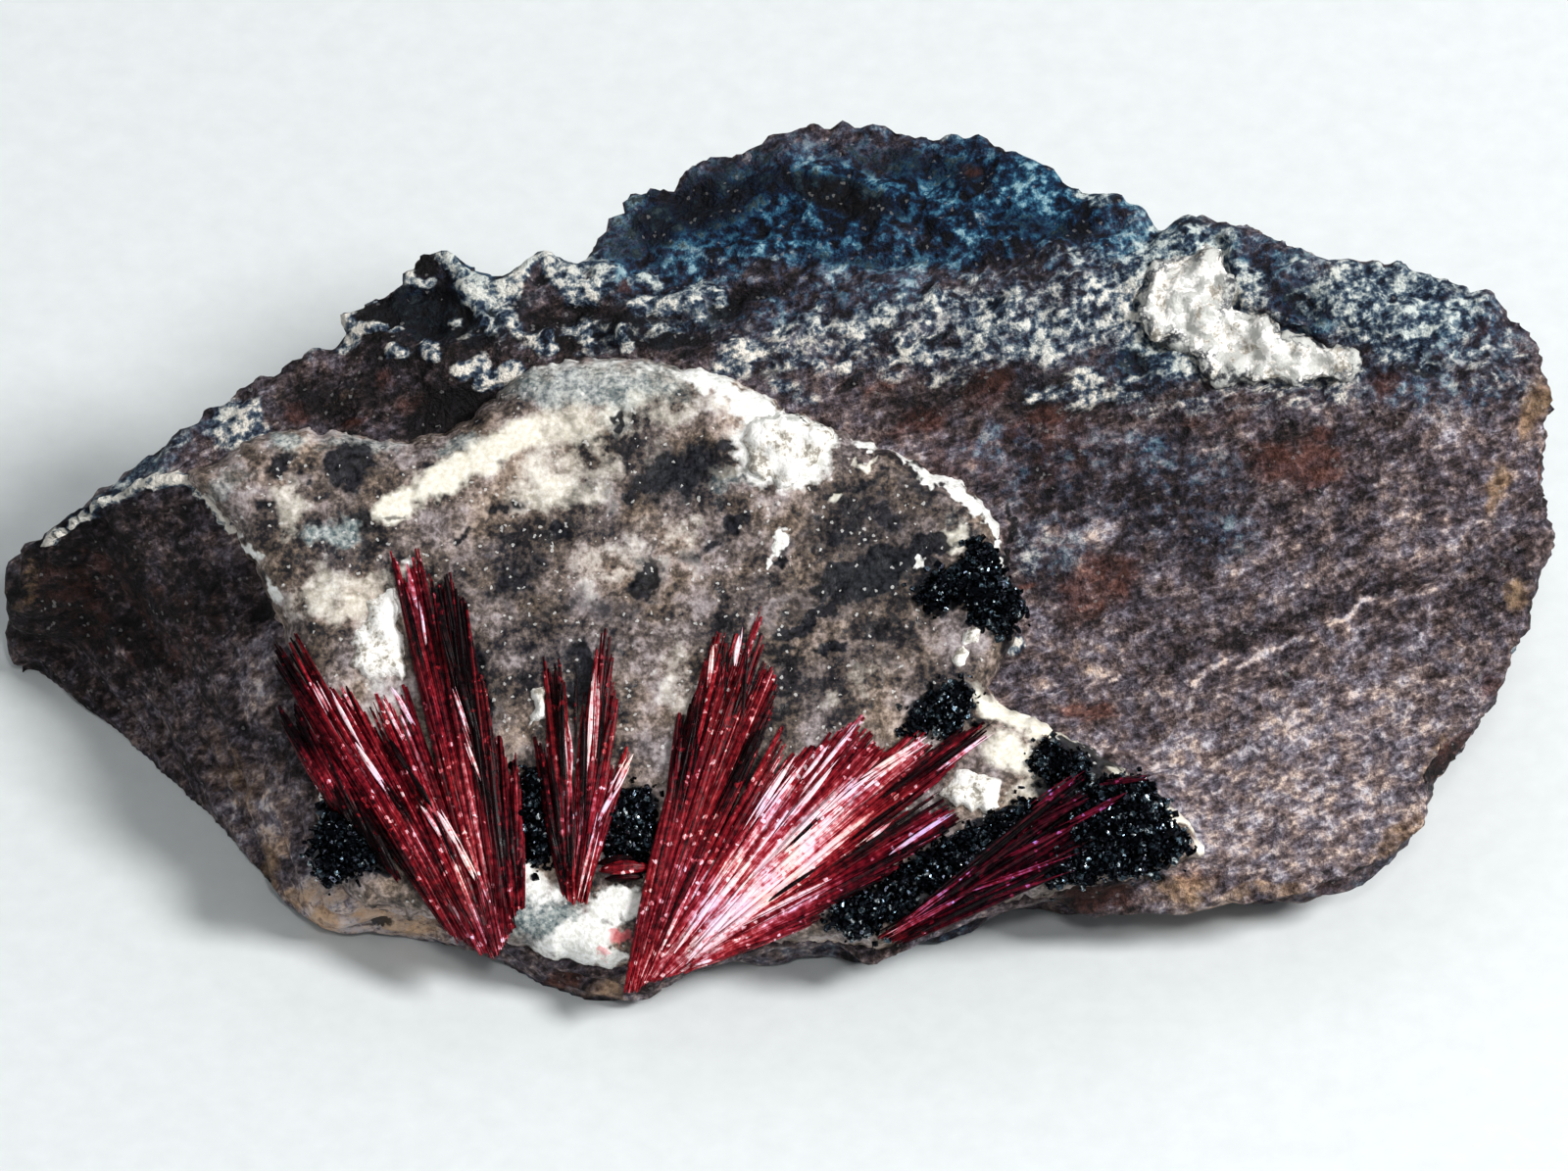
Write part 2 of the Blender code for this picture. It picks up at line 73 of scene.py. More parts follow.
# The vein's outline, clockwise from its left corner
VEIN = [
    (158, 480), (205, 470), (245, 436), (300, 432), (380, 446), (440, 440), (495, 405), (522, 368),
    (600, 356), (690, 362), (760, 384), (820, 421), (900, 449), (960, 478), (1004, 500), (1028, 535),
    (1031, 600), (1046, 638), (1036, 672), (1010, 712), (1060, 736), (1120, 768), (1180, 806),
    (1222, 842), (1250, 880), (1205, 893), (1150, 908), (1105, 914), (1060, 922), (1000, 940),
    (940, 964), (890, 982), (850, 966), (770, 976), (690, 983), (650, 994), (610, 1000), (548, 988),
    (492, 964), (402, 940), (338, 928), (318, 878), (310, 800), (295, 718), (271, 636), (244, 574),
    (206, 520),
]
# Heights of the vein's floor and top off the seam, and how far its round edge reaches in, in millimetres
VEIN_FLOOR = -0.8
VEIN_TOP = 3.0
VEIN_SHOULDER = 2.4

# Fans, as sheaves of needles: two places across the sheaf's root, then its tips in order, where short tips
# part the long ones
FANS = {
    "kermesite_fan_left": [
        ((326, 830), (398, 910), [
            (272, 742), (268, 720), (288, 752), (284, 716), (316, 770), (308, 744), (344, 806)]),
        ((446, 958), (496, 984), [
            (262, 676), (264, 652), (276, 668), (284, 642), (299, 672), (302, 690), (318, 708), (322, 698),
            (336, 716), (340, 700), (356, 728), (374, 704), (386, 716), (404, 692)]),
        ((494, 984), (526, 936), [
            (386, 560), (402, 592), (414, 552), (434, 600), (448, 580), (458, 606), (466, 612), (474, 690),
            (484, 690), (492, 760), (502, 752), (512, 800), (518, 768), (527, 850)]),
    ],
    "kermesite_fan_centre": [
        ((570, 922), (580, 928), [
            (536, 752), (546, 764), (552, 742), (547, 668), (556, 690), (562, 664), (568, 690), (572, 742)]),
        ((576, 930), (588, 930), [
            (590, 704), (599, 716), (606, 694), (602, 660), (614, 628), (620, 652), (622, 700), (626, 720),
            (614, 806)]),
        ((584, 926), (594, 918), [(614, 802), (624, 776), (636, 764), (641, 774)]),
    ],
    "kermesite_fan_right": [
        ((674, 884), (688, 868), [(685, 748), (690, 728), (697, 734), (703, 716), (712, 720)]),
        ((638, 1021), (654, 1010), [
            (706, 712), (712, 696), (718, 672), (722, 668), (728, 644), (736, 640), (744, 660), (752, 642),
            (762, 654), (770, 640), (776, 618), (780, 672), (790, 684), (795, 702), (786, 742), (772, 752),
            (750, 806)]),
        ((654, 1010), (704, 996), [
            (792, 754), (800, 742), (806, 776), (814, 770), (828, 764), (838, 768), (850, 748), (866, 744),
            (884, 732), (892, 752), (900, 766), (918, 766), (938, 748), (952, 752), (960, 770), (990, 744),
            (1020, 738), (1016, 754), (986, 774), (978, 788), (962, 804), (986, 832), (984, 846), (950, 868),
            (906, 904), (886, 914), (862, 912), (846, 930), (838, 948), (820, 956), (800, 963), (770, 967),
            (745, 973)]),
    ],
    "kermesite_blades_right": [
        ((900, 966), (930, 968), [
            (1020, 894), (1064, 866), (1076, 846), (1106, 798), (1124, 796), (1112, 840), (1184, 800),
            (1150, 850), (1182, 830), (1110, 880), (1092, 888), (1080, 905)]),
    ],
}
NEEDLE_COUNTS = {
    "kermesite_fan_left": 800, "kermesite_fan_centre": 230, "kermesite_fan_right": 1250,
    "kermesite_blades_right": 180,
}

# Blots on the drawing: (across, down, half-length, half-width, turn in degrees, strength)
SCHIST_BLOTS = {
    "rust": [
        (1131, 598, 50, 32, 40, 0.75), (1120, 730, 34, 16, 0, 0.8), (1340, 470, 60, 26, -8, 0.75),
        (1430, 385, 20, 15, 0, 0.9), (1526, 333, 22, 8, 30, 0.8), (944, 425, 30, 16, 20, 0.8),
        (1016, 385, 32, 22, 40, 0.75), (1076, 418, 24, 14, 20, 0.8), (1366, 436, 14, 8, 0, 0.9),
        (900, 392, 18, 9, 0, 0.6), (1055, 598, 14, 7, 30, 0.8), (632, 278, 9, 7, 0, 0.7),
        (379, 379, 14, 14, 0, 0.6), (287, 416, 14, 10, 0, 0.7), (342, 424, 22, 6, 10, 0.8),
        (1545, 706, 18, 12, 0, 0.7), (996, 160, 9, 8, 0, 0.7), (1128, 925, 40, 14, 5, 0.9),
        (1215, 905, 40, 10, 8, 0.5), (60, 600, 60, 40, 10, 0.4), (1500, 640, 40, 20, 0, 0.3),
        (570, 1014, 30, 8, 10, 0.8), (960, 480, 90, 50, 20, 0.3), (1080, 440, 90, 50, 20, 0.4),
        (120, 640, 110, 60, -10, 0.35), (430, 400, 60, 20, 0, 0.3), (1260, 420, 60, 20, 0, 0.4),
    ],
    "warm": [
        (1587, 420, 34, 11, 80, 0.8), (1551, 495, 28, 11, 75, 0.8), (1567, 602, 22, 12, 80, 0.7),
        (4, 590, 44, 12, 80, 0.3), (316, 946, 16, 11, 0, 1.0), (293, 926, 14, 10, 0, 0.9),
        (400, 952, 60, 12, -8, 0.8), (265, 880, 20, 34, 0, 0.7), (1215, 912, 34, 12, 0, 0.8),
        (1300, 920, 60, 10, 5, 0.6), (1440, 870, 50, 14, 50, 0.5), (230, 800, 60, 34, -45, 0.5),
        (620, 1020, 34, 16, 20, 0.6), (1490, 780, 40, 16, 60, 0.5), (332, 401, 24, 10, 0, 0.4),
        (1100, 690, 60, 20, 20, 0.3), (380, 930, 70, 24, -10, 0.6),
    ],
    # Cool blots: the large ones over the crest are painted shade in navy; the others are blue-grey weathering
    "cool": [
        (800, 205, 230, 76, 4, 1.0), (900, 246, 270, 26, 2, 0.95), (1020, 190, 200, 80, -6, 1.0),
        (1180, 240, 120, 34, 0, 0.9), (700, 250, 130, 40, 4, 0.9), (1460, 300, 110, 60, -20, 0.75),
        (1480, 380, 90, 34, -8, 0.5), (1196, 449, 30, 15, 0, 0.5), (1025, 450, 44, 20, 10, 0.45),
        (1090, 480, 70, 34, 10, 0.3), (1210, 500, 70, 44, 10, 0.36), (1250, 545, 40, 24, 10, 0.4),
        (1085, 560, 40, 50, 0, 0.25), (120, 466, 110, 22, 33, 0.6), (448, 300, 70, 34, 0, 0.5),
        (860, 290, 150, 36, 5, 0.6), (1346, 300, 50, 36, -20, 0.8), (470, 262, 40, 20, -30, 0.8),
        (1183, 362, 44, 28, 0, 0.8), (1300, 260, 70, 34, -20, 0.7), (1060, 320, 120, 50, 0, 0.4),
        (660, 330, 60, 16, 0, 0.4), (520, 256, 24, 14, 0, 0.7),
    ],
    # Dark blots: dark cracks and patches of the rock, painted shadow in a line along the vein's right edge
    # and a strip under its lower right edge, and painted shade over the crest
    "dark": [
        (855, 186, 60, 16, -18, 0.9), (765, 293, 44, 6, 14, 1.0), (910, 324, 26, 5, 5, 1.0),
        (1017, 300, 16, 6, 25, 1.0), (944, 344, 34, 5, 30, 1.0), (871, 384, 16, 5, 35, 1.0),
        (1183, 362, 38, 20, -5, 0.7), (1352, 297, 26, 18, -30, 0.9), (1475, 368, 16, 9, 0, 1.0),
        (430, 312, 90, 26, -8, 0.9), (421, 264, 14, 8, 0, 1.0), (546, 272, 12, 9, 0, 1.0),
        (310, 400, 50, 26, 5, 0.6), (450, 412, 56, 24, 18, 0.9), (246, 627, 13, 11, 0, 1.2),
        (371, 955, 14, 4, 0, 1.0), (1190, 905, 16, 6, 0, 1.1), (600, 320, 130, 20, 0, 0.6),
        (545, 340, 40, 12, -8, 0.8), (680, 338, 60, 10, 6, 0.7), (738, 306, 24, 12, 20, 0.9),
        (1120, 925, 50, 12, 5, 0.5), (1036, 560, 5, 40, 0, 0.9), (540, 215, 30, 30, 0, 0.4),
        (1075, 395, 46, 22, 30, 0.6), (960, 400, 70, 20, 25, 0.5), (700, 200, 110, 36, 20, 0.6),
        (930, 150, 90, 20, -10, 0.5), (760, 150, 60, 16, 20, 0.5), (1080, 220, 60, 14, -10, 0.5),
        (800, 360, 60, 10, 30, 0.4), (1130, 405, 50, 10, 10, 0.6), (50, 620, 60, 40, 0, 0.4),
        (1240, 440, 80, 12, 20, 0.4), (640, 235, 40, 14, 30, 0.5), (880, 255, 90, 8, 0, 0.4),
    ],
    "milky": [
        (1130, 290, 66, 30, 0, 0.55), (1125, 378, 18, 13, 0, 1.0), (1430, 288, 70, 34, -18, 0.62),
        (1390, 366, 40, 12, 0, 0.6), (1076, 352, 19, 15, 0, 0.9), (755, 356, 40, 22, 15, 0.8),
        (800, 330, 26, 12, 0, 0.6), (912, 311, 26, 8, 8, 0.95), (995, 270, 18, 6, 0, 0.75),
        (1034, 302, 18, 9, 15, 0.85), (868, 329, 22, 7, 10, 0.75), (869, 367, 10, 8, 0, 0.85),
        (842, 363, 10, 7, 0, 0.8), (838, 300, 5, 4, 0, 0.8), (1000, 310, 110, 34, 15, 0.38),
        (1123, 188, 24, 9, -20, 1.0), (1022, 181, 13, 14, 0, 0.4), (908, 104, 8, 4, -20, 0.9),
        (974, 124, 18, 4, 0, 0.7), (1000, 210, 14, 4, 0, 0.7), (725, 256, 36, 14, 0, 0.4),
        (790, 250, 28, 8, 0, 0.55), (110, 478, 120, 15, 33, 0.48), (224, 430, 30, 36, 30, 0.95),
        (1225, 300, 66, 76, 0, 1.3), (1335, 362, 74, 24, 0, 1.1), (311, 350, 16, 7, 25, 0.9),
        (342, 343, 16, 7, 20, 0.85), (1290, 280, 30, 40, 0, 0.55), (1340, 330, 40, 20, 0, 0.5),
        (560, 348, 60, 8, 0, 0.4), (600, 330, 70, 14, 0, 0.4), (1042, 659, 13, 10, 10, 1.2),
        (246, 418, 8, 28, 0, 0.8), (850, 350, 60, 26, 10, 0.45), (1230, 205, 20, 8, 0, 0.4),
        (1120, 405, 60, 12, 10, 0.35), (1200, 390, 60, 16, 0, 0.4), (960, 370, 60, 20, 20, 0.34),
        (700, 320, 60, 20, 0, 0.36), (1500, 400, 60, 20, -20, 0.34), (1180, 320, 30, 30, 0, 0.6),
        (800, 385, 40, 12, -30, 0.6), (1062, 560, 30, 30, 30, 0.34), (1440, 330, 60, 20, 0, 0.45),
        (1010, 325, 190, 50, 8, 0.62), (1180, 300, 110, 70, 0, 0.66), (1440, 305, 110, 60, -15, 0.7),
        (1340, 365, 90, 36, 0, 0.64), (850, 340, 130, 36, 12, 0.58), (1230, 300, 80, 90, 0, 0.9),
        (1540, 350, 60, 40, -50, 0.5), (560, 330, 110, 14, 0, 0.45), (1290, 400, 160, 20, 5, 0.45),
        (1130, 395, 120, 20, 5, 0.5),
    ],
    # Painted light: the broad pale blots over the lower right; the small strong ones are pale spots of the
    # rock
    "pale": [
        (1360, 790, 200, 100, 20, 0.62), (1220, 800, 70, 80, 0, 0.5), (1134, 541, 17, 10, 10, 1.3),
        (1080, 542, 17, 8, 10, 1.0), (1412, 813, 13, 9, 0, 1.7), (1357, 815, 10, 7, 0, 1.6),
        (165, 568, 50, 18, 5, 0.5), (235, 690, 30, 46, 0, 0.7), (190, 760, 90, 26, -40, 0.45),
        (100, 672, 7, 5, 0, 1.6), (250, 830, 60, 36, -50, 0.6), (375, 938, 90, 34, -8, 1.8),
        (1480, 560, 80, 40, 20, 0.3), (1320, 880, 90, 34, 5, 0.6), (1253, 787, 8, 7, 0, 1.6),
        (1127, 690, 8, 6, 0, 1.4), (620, 1022, 26, 12, 20, 0.5), (1480, 410, 50, 30, -20, 0.4),
        (1020, 458, 34, 16, 10, 0.6), (960, 450, 90, 16, 16, 0.3), (1060, 640, 20, 20, 0, 0.5),
        (1100, 700, 70, 30, 20, 0.2),
    ],
    # Painted shade: the left wall, a band under the ridge, a shadowed step on the right face and a strip
    # under the vein's lower right edge, with other darker patches
    "shade": [
        (110, 610, 150, 110, -25, 0.9), (30, 600, 60, 70, 0, 1.2), (190, 730, 110, 60, -45, 0.5),
        (400, 400, 130, 50, 10, 0.6), (430, 320, 100, 60, 0, 1.2), (620, 320, 140, 40, 0, 0.7),
        (1140, 430, 200, 60, 20, 0.35), (1340, 630, 160, 14, 20, 0.5), (1120, 930, 60, 18, 0, 0.5),
        (1000, 400, 160, 50, 10, 0.4), (1560, 620, 60, 50, 60, 0.3), (1200, 500, 300, 80, 15, 0.2),
    ],
}
# The line under which the block's upper face is smooth, and over which it is craggy
RIDGE_LINE = [
    (0, 540), (100, 470), (240, 400), (380, 350), (520, 345), (700, 350), (800, 370), (900, 360),
    (1000, 340), (1100, 345), (1200, 380), (1310, 385), (1420, 390), (1500, 380), (1600, 400),
]

# Strokes on the drawing: (width, strength, places)
SCHIST_BANDS = [
    (7.4, 1.4, [
        (399, 268), (402, 254), (416, 247), (421, 238), (430, 242), (446, 256), (456, 266), (470, 272),
        (484, 280), (489, 292)]),
    (4.2, 1.2, [(399, 266), (404, 275), (414, 279), (430, 278)]),
    (10.4, 1.4, [(462, 274), (470, 292), (480, 298), (500, 290), (516, 284)]),
    (8.4, 1.4, [
        (514, 284), (520, 272), (530, 258), (545, 249), (560, 252), (572, 264), (580, 280), (592, 290)]),
    (8.4, 1.1, [(555, 266), (562, 280), (575, 290), (600, 292)]),
    (12, 0.85, [(588, 262), (604, 262), (616, 270), (606, 284), (596, 292)]),
    (5.6, 1.1, [(640, 276), (658, 272), (668, 284)]),
    (10.4, 1.2, [(646, 303), (676, 300), (702, 300)]),
    (8.4, 1.1, [(700, 290), (716, 284), (734, 294)]),
    (4.6, 1.2, [(350, 336), (344, 312), (350, 298), (368, 290)]),
    (4.2, 1.2, [(352, 326), (378, 326)]), (4.2, 1.2, [(390, 327), (397, 328)]),
    (4.2, 1.1, [(478, 312), (496, 330)]), (4.6, 0.7, [(448, 318), (456, 318)]),
    (9.4, 0.8, [(504, 312), (522, 330)]), (5.6, 1.1, [(536, 336), (540, 348)]),
    (5.6, 1.1, [(552, 332), (556, 350)]), (6.6, 1.1, [(590, 330), (592, 342)]),
    (6.6, 1.1, [(630, 330), (634, 348)]), (4.6, 0.7, [(660, 322), (690, 326), (716, 312)]),
    (8.4, 1.2, [(424, 346), (432, 357)]), (7.4, 1.2, [(388, 352), (400, 356)]),
    (10.4, 1.2, [(464, 372), (480, 366), (484, 384)]), (10.4, 1.2, [(500, 380), (513, 368), (520, 376)]),
    (3, 2.2, [(22, 551), (60, 528), (90, 509), (130, 491)]),
    (4.7, 2.2, [(124, 493), (156, 485), (183, 491), (204, 516), (220, 537)]),
]
SCRATCHES = [
    (2.6, 1.0, [(1227, 724), (1231, 702), (1244, 688), (1257, 680), (1271, 673)]),
    (2.6, 1.0, [(1275, 687), (1290, 676), (1305, 667), (1327, 658), (1342, 651)]),
    (2.6, 1.0, [(1375, 637), (1394, 630), (1408, 613), (1423, 609)]),
    (2.6, 0.9, [(1427, 617), (1445, 611), (1464, 608), (1490, 600)]),
    (2.4, 0.7, [(1236, 770), (1237, 800)]),
    (2.4, 0.6, [(1198, 775), (1202, 760)]),
]

# How far the outlines of blots and of bands waver, in drawing units
BLOT_WAVER = 7
BAND_WAVER = 4
VEIN_BLOT_WAVER = 9

# Out of the viewer's sight the same marks come in patches: (size in mm, level, how far they vary)
UNSEEN_PATCHES = {
    "rust": (9.0, 0.1, 0.5), "warm": (12.0, 0.0, 0.5), "cool": (14.0, 0.1, 0.6),
    "dark": (8.0, 0.0, 0.5), "milky": (9.0, -0.1, 0.5), "pale": (9.0, 0.3, 0.8), "shade": (16.0, 0.3, 0.7),
}

VEIN_BLOTS = {
    "shade": [
        (880, 640, 200, 150, 0, 0.35), (890, 530, 130, 70, 20, 0.42), (560, 590, 150, 80, 0, 0.4),
        (700, 490, 70, 40, 20, 0.4), (330, 500, 90, 60, 10, 0.15), (640, 640, 40, 40, 0, 0.4),
        (760, 550, 60, 60, 0, 0.4), (310, 545, 90, 60, 0, 0.45), (880, 680, 90, 60, 0, 0.3),
    ],
    "cream": [
        (395, 512, 34, 14, 35, 0.9), (445, 484, 46, 17, 30, 1.0), (510, 447, 48, 19, 22, 1.0),
        (560, 500, 60, 26, 0, 0.5), (575, 430, 40, 24, 0, 0.6), (886, 469, 12, 4, 40, 0.8),
        (857, 505, 14, 5, 35, 0.8), (330, 610, 50, 34, 0, 0.45), (281, 520, 20, 40, 0, 0.4),
        (1030, 728, 44, 13, -26, 1.0), (1105, 757, 40, 9, -28, 1.0), (1150, 776, 24, 8, -32, 0.9),
        (1206, 822, 22, 8, -40, 0.9), (1238, 858, 26, 11, -58, 1.0), (1090, 754, 95, 8, -29, 1.4),
        (1206, 832, 62, 8, -42, 1.4), (1045, 775, 40, 20, -20, 0.7), (982, 545, 16, 17, 0, 0.7),
        (690, 700, 26, 70, 0, 0.3), (1060, 810, 30, 15, 20, 0.5), (640, 560, 80, 40, 20, 0.25),
        (870, 700, 60, 24, 10, 0.3), (370, 600, 40, 20, 20, 0.4), (735, 478, 30, 10, 15, 0.4),
        (660, 412, 80, 26, 8, 0.42), (690, 545, 40, 20, 40, 0.3), (590, 466, 90, 36, 10, 0.4),
        (590, 545, 90, 40, 10, 0.1),
    ],
    "white": [
        (797, 458, 46, 34, 0, 1.2), (822, 440, 30, 15, -10, 1.1), (770, 410, 36, 17, -30, 0.9),
        (720, 380, 44, 15, -18, 0.7), (962, 486, 26, 9, -28, 1.1), (990, 503, 26, 10, -32, 1.2),
        (1016, 528, 16, 10, -60, 1.1), (1024, 560, 5, 30, 0, 1.0), (796, 549, 9, 9, 0, 1.2),
        (786, 574, 14, 4, 75, 0.8), (886, 448, 16, 4, -25, 0.9), (925, 463, 22, 5, -28, 0.8),
        (310, 794, 14, 30, 12, 0.9), (533, 996, 36, 9, -24, 1.2), (585, 966, 40, 26, 20, 1.0),
        (545, 920, 24, 18, 0, 0.6), (626, 932, 30, 18, 10, 1.0), (610, 990, 32, 9, 10, 0.9),
        (300, 560, 30, 20, 0, 0.3), (262, 600, 20, 6, -70, 0.7), (238, 560, 26, 5, -55, 0.7),
        (280, 690, 50, 4, -75, 0.5), (306, 830, 34, 3.5, -80, 0.45), (305, 885, 20, 3, 80, 0.5),
        (941, 576, 5, 4, 0, 1.0), (640, 372, 60, 10, 0, 0.35), (560, 366, 40, 8, 5, 0.4),
        (984, 715, 8, 6, 0, 0.8), (536, 905, 14, 16, 0, 0.5), (1240, 862, 22, 5, -58, 0.7),
        (400, 575, 12, 6, 0, 0.7),
    ],
    "cool": [
        (327, 542, 34, 14, 10, 0.8), (277, 446, 18, 12, 0, 0.8), (459, 450, 30, 9, 20, 0.7),
        (600, 388, 110, 26, 0, 0.75), (660, 374, 80, 16, 0, 0.6), (550, 950, 60, 30, -15, 0.9),
        (690, 478, 60, 30, 20, 0.4), (895, 585, 54, 24, 20, 0.6), (350, 450, 50, 10, 0, 0.6),
        (980, 530, 20, 14, 0, 0.4), (625, 430, 20, 20, 0, 0.5), (738, 490, 30, 9, 15, 0.5),
        (208, 495, 40, 14, 30, 0.5), (370, 690, 20, 20, 0, 0.3), (1140, 870, 60, 14, 15, 0.4),
    ],
    # Dark blots: smoky patches, and painted shade in strips along the left fan's right edge
    "dark": [
        (344, 472, 30, 24, 15, 1.0), (268, 470, 20, 9, 40, 0.8), (296, 470, 16, 6, 45, 0.8),
        (252, 514, 10, 12, 0, 0.7), (309, 530, 8, 9, 0, 0.8), (307, 489, 9, 7, 0, 0.6),
        (503, 514, 12, 8, 10, 0.7), (501, 471, 10, 6, 0, 0.5), (468, 540, 32, 4, 31, 0.7),
        (625, 425, 5, 22, -8, 0.8), (684, 480, 62, 28, 22, 0.82), (646, 500, 30, 12, 50, 0.9),
        (735, 452, 22, 10, -5, 0.8), (734, 510, 10, 8, 0, 0.8), (752, 532, 18, 10, 35, 0.95),
        (726, 552, 26, 10, 35, 0.55), (515, 585, 44, 30, 20, 0.62), (567, 544, 12, 10, 0, 0.9),
        (652, 592, 16, 26, -30, 0.95), (511, 510, 16, 7, 0, 0.6), (894, 490, 16, 8, 30, 0.7),
        (890, 585, 60, 24, 25, 1.3), (947, 558, 36, 12, 22, 1.1), (828, 634, 38, 8, 33, 1.2),
        (847, 661, 16, 9, 10, 1.4), (804, 665, 10, 4, 0, 0.7), (870, 535, 84, 30, 15, 0.58),
        (796, 574, 8, 6, 0, 0.9), (787, 593, 7, 5, 0, 0.7), (905, 660, 60, 24, 15, 0.3),
        (930, 500, 60, 16, 20, 0.5), (962, 604, 28, 16, 0, 1.0), (1020, 600, 24, 38, 0, 1.1),
        (640, 620, 46, 30, 10, 0.4), (532, 835, 16, 54, 0, 1.1), (645, 845, 26, 34, 0, 1.0),
        (362, 872, 40, 26, -45, 1.0), (1090, 780, 34, 20, -15, 1.0), (1150, 830, 52, 28, 20, 1.1),
        (1010, 866, 110, 18, 28, 1.1), (920, 925, 60, 20, 20, 1.1), (1160, 880, 56, 13, 14, 1.0),
        (1116, 790, 54, 24, 25, 1.2), (585, 690, 16, 36, 0, 1.0), (965, 722, 38, 20, 35, 1.1),
        (480, 700, 14, 60, 10, 0.9), (1050, 895, 90, 14, 18, 0.9), (690, 560, 24, 14, 0, 0.4),
        (560, 620, 40, 14, 15, 0.4), (860, 610, 110, 30, 20, 0.35), (505, 740, 14, 40, 0, 0.5),
        (665, 770, 22, 30, 0, 0.3), (571, 969, 2.5, 9, 0, 1.0), (1074, 905, 30, 6, 12, 0.5),
        (300, 700, 20, 30, 0, 0.3), (440, 930, 60, 14, -30, 0.5), (760, 600, 40, 18, 20, 0.35),
    ],
    "pink": [
        (629, 966, 12, 9, 0, 1.0), (609, 983, 7, 5, 0, 1.0), (310, 792, 14, 28, 12, 0.4),
        (640, 930, 8, 16, 0, 0.3), (1020, 700, 10, 5, 0, 0.4),
    ],
}
VEIN_CRACKS = [
    (4, 0.9, [(666, 532), (664, 570), (662, 598), (640, 605), (612, 611)]),
    (3, 0.6, [(358, 535), (392, 522), (430, 513)]),
    (3, 0.5, [(720, 502), (753, 487), (782, 492), (794, 514), (787, 547), (776, 581)]),
]

# How much paler or darker than the rest the needles are, as blots: the pale ones are painted highlights along
# the needles, the dark ones are darker needles and painted shade, as along the left fan's right side
NEEDLE_HIGHLIGHTS = [
    (780, 908, 130, 30, 40, 0.56), (735, 960, 60, 20, 40, 0.44), (835, 850, 60, 22, 42, 0.42),
    (745, 905, 60, 24, 45, 0.36), (800, 830, 60, 30, 48, 0.28), (810, 930, 60, 20, 32, 0.32),
    (860, 770, 40, 20, 46, 0.18), (920, 785, 60, 12, 40, 0.30), (930, 860, 60, 9, 34, 0.16),
    (790, 800, 26, 24, 50, 0.22), (342, 760, 60, 9, -56, 0.16), (452, 870, 50, 8, -62, 0.20),
    (395, 726, 30, 12, -52, 0.26), (420, 760, 60, 12, -62, 0.08), (470, 850, 60, 12, -66, 0.08),
    (634, 785, 26, 9, 62, 0.26), (600, 740, 60, 8, 85, 0.10), (592, 895, 30, 5, 66, 0.3),
    (700, 900, 50, 12, 66, 0.08), (665, 980, 40, 8, 62, 0.1),
]
NEEDLE_DARK_AND_SHADE = [
    (281, 672, 34, 20, -60, 0.52), (284, 738, 34, 12, -60, 0.5), (300, 760, 30, 10, -50, 0.2),
    (362, 866, 56, 22, -48, 0.46), (455, 660, 90, 24, -78, 0.44), (480, 770, 60, 9, -75, 0.40),
    (506, 840, 100, 16, -84, 0.26), (560, 700, 44, 16, 90, 0.25), (552, 840, 90, 10, -80, 0.34),
    (572, 900, 34, 9, 90, 0.3), (762, 775, 40, 7, 64, 0.5), (990, 845, 50, 20, 30, 0.24),
    (1060, 880, 170, 60, 28, 0.30), (697, 755, 60, 10, 86, 0.36), (735, 690, 60, 40, 75, 0.06),
    (880, 925, 60, 16, 20, 0.25), (980, 765, 50, 12, 36, 0.24), (930, 800, 60, 8, 36, 0.24),
    (880, 860, 70, 6, 36, 0.22), (940, 830, 50, 10, 34, 0.22), (790, 935, 70, 5, 36, 0.3),
    (616, 660, 40, 10, 85, 0.2), (583, 700, 30, 14, 90, 0.5), (870, 895, 70, 12, 28, 0.2),
]
NEEDLE_PURPLE = [
    (1080, 862, 160, 60, 28, 1.3), (960, 840, 60, 30, 30, 0.5), (900, 900, 60, 24, 30, 0.5),
    (290, 740, 60, 30, -50, 0.4), (830, 935, 60, 20, 30, 0.4),
]
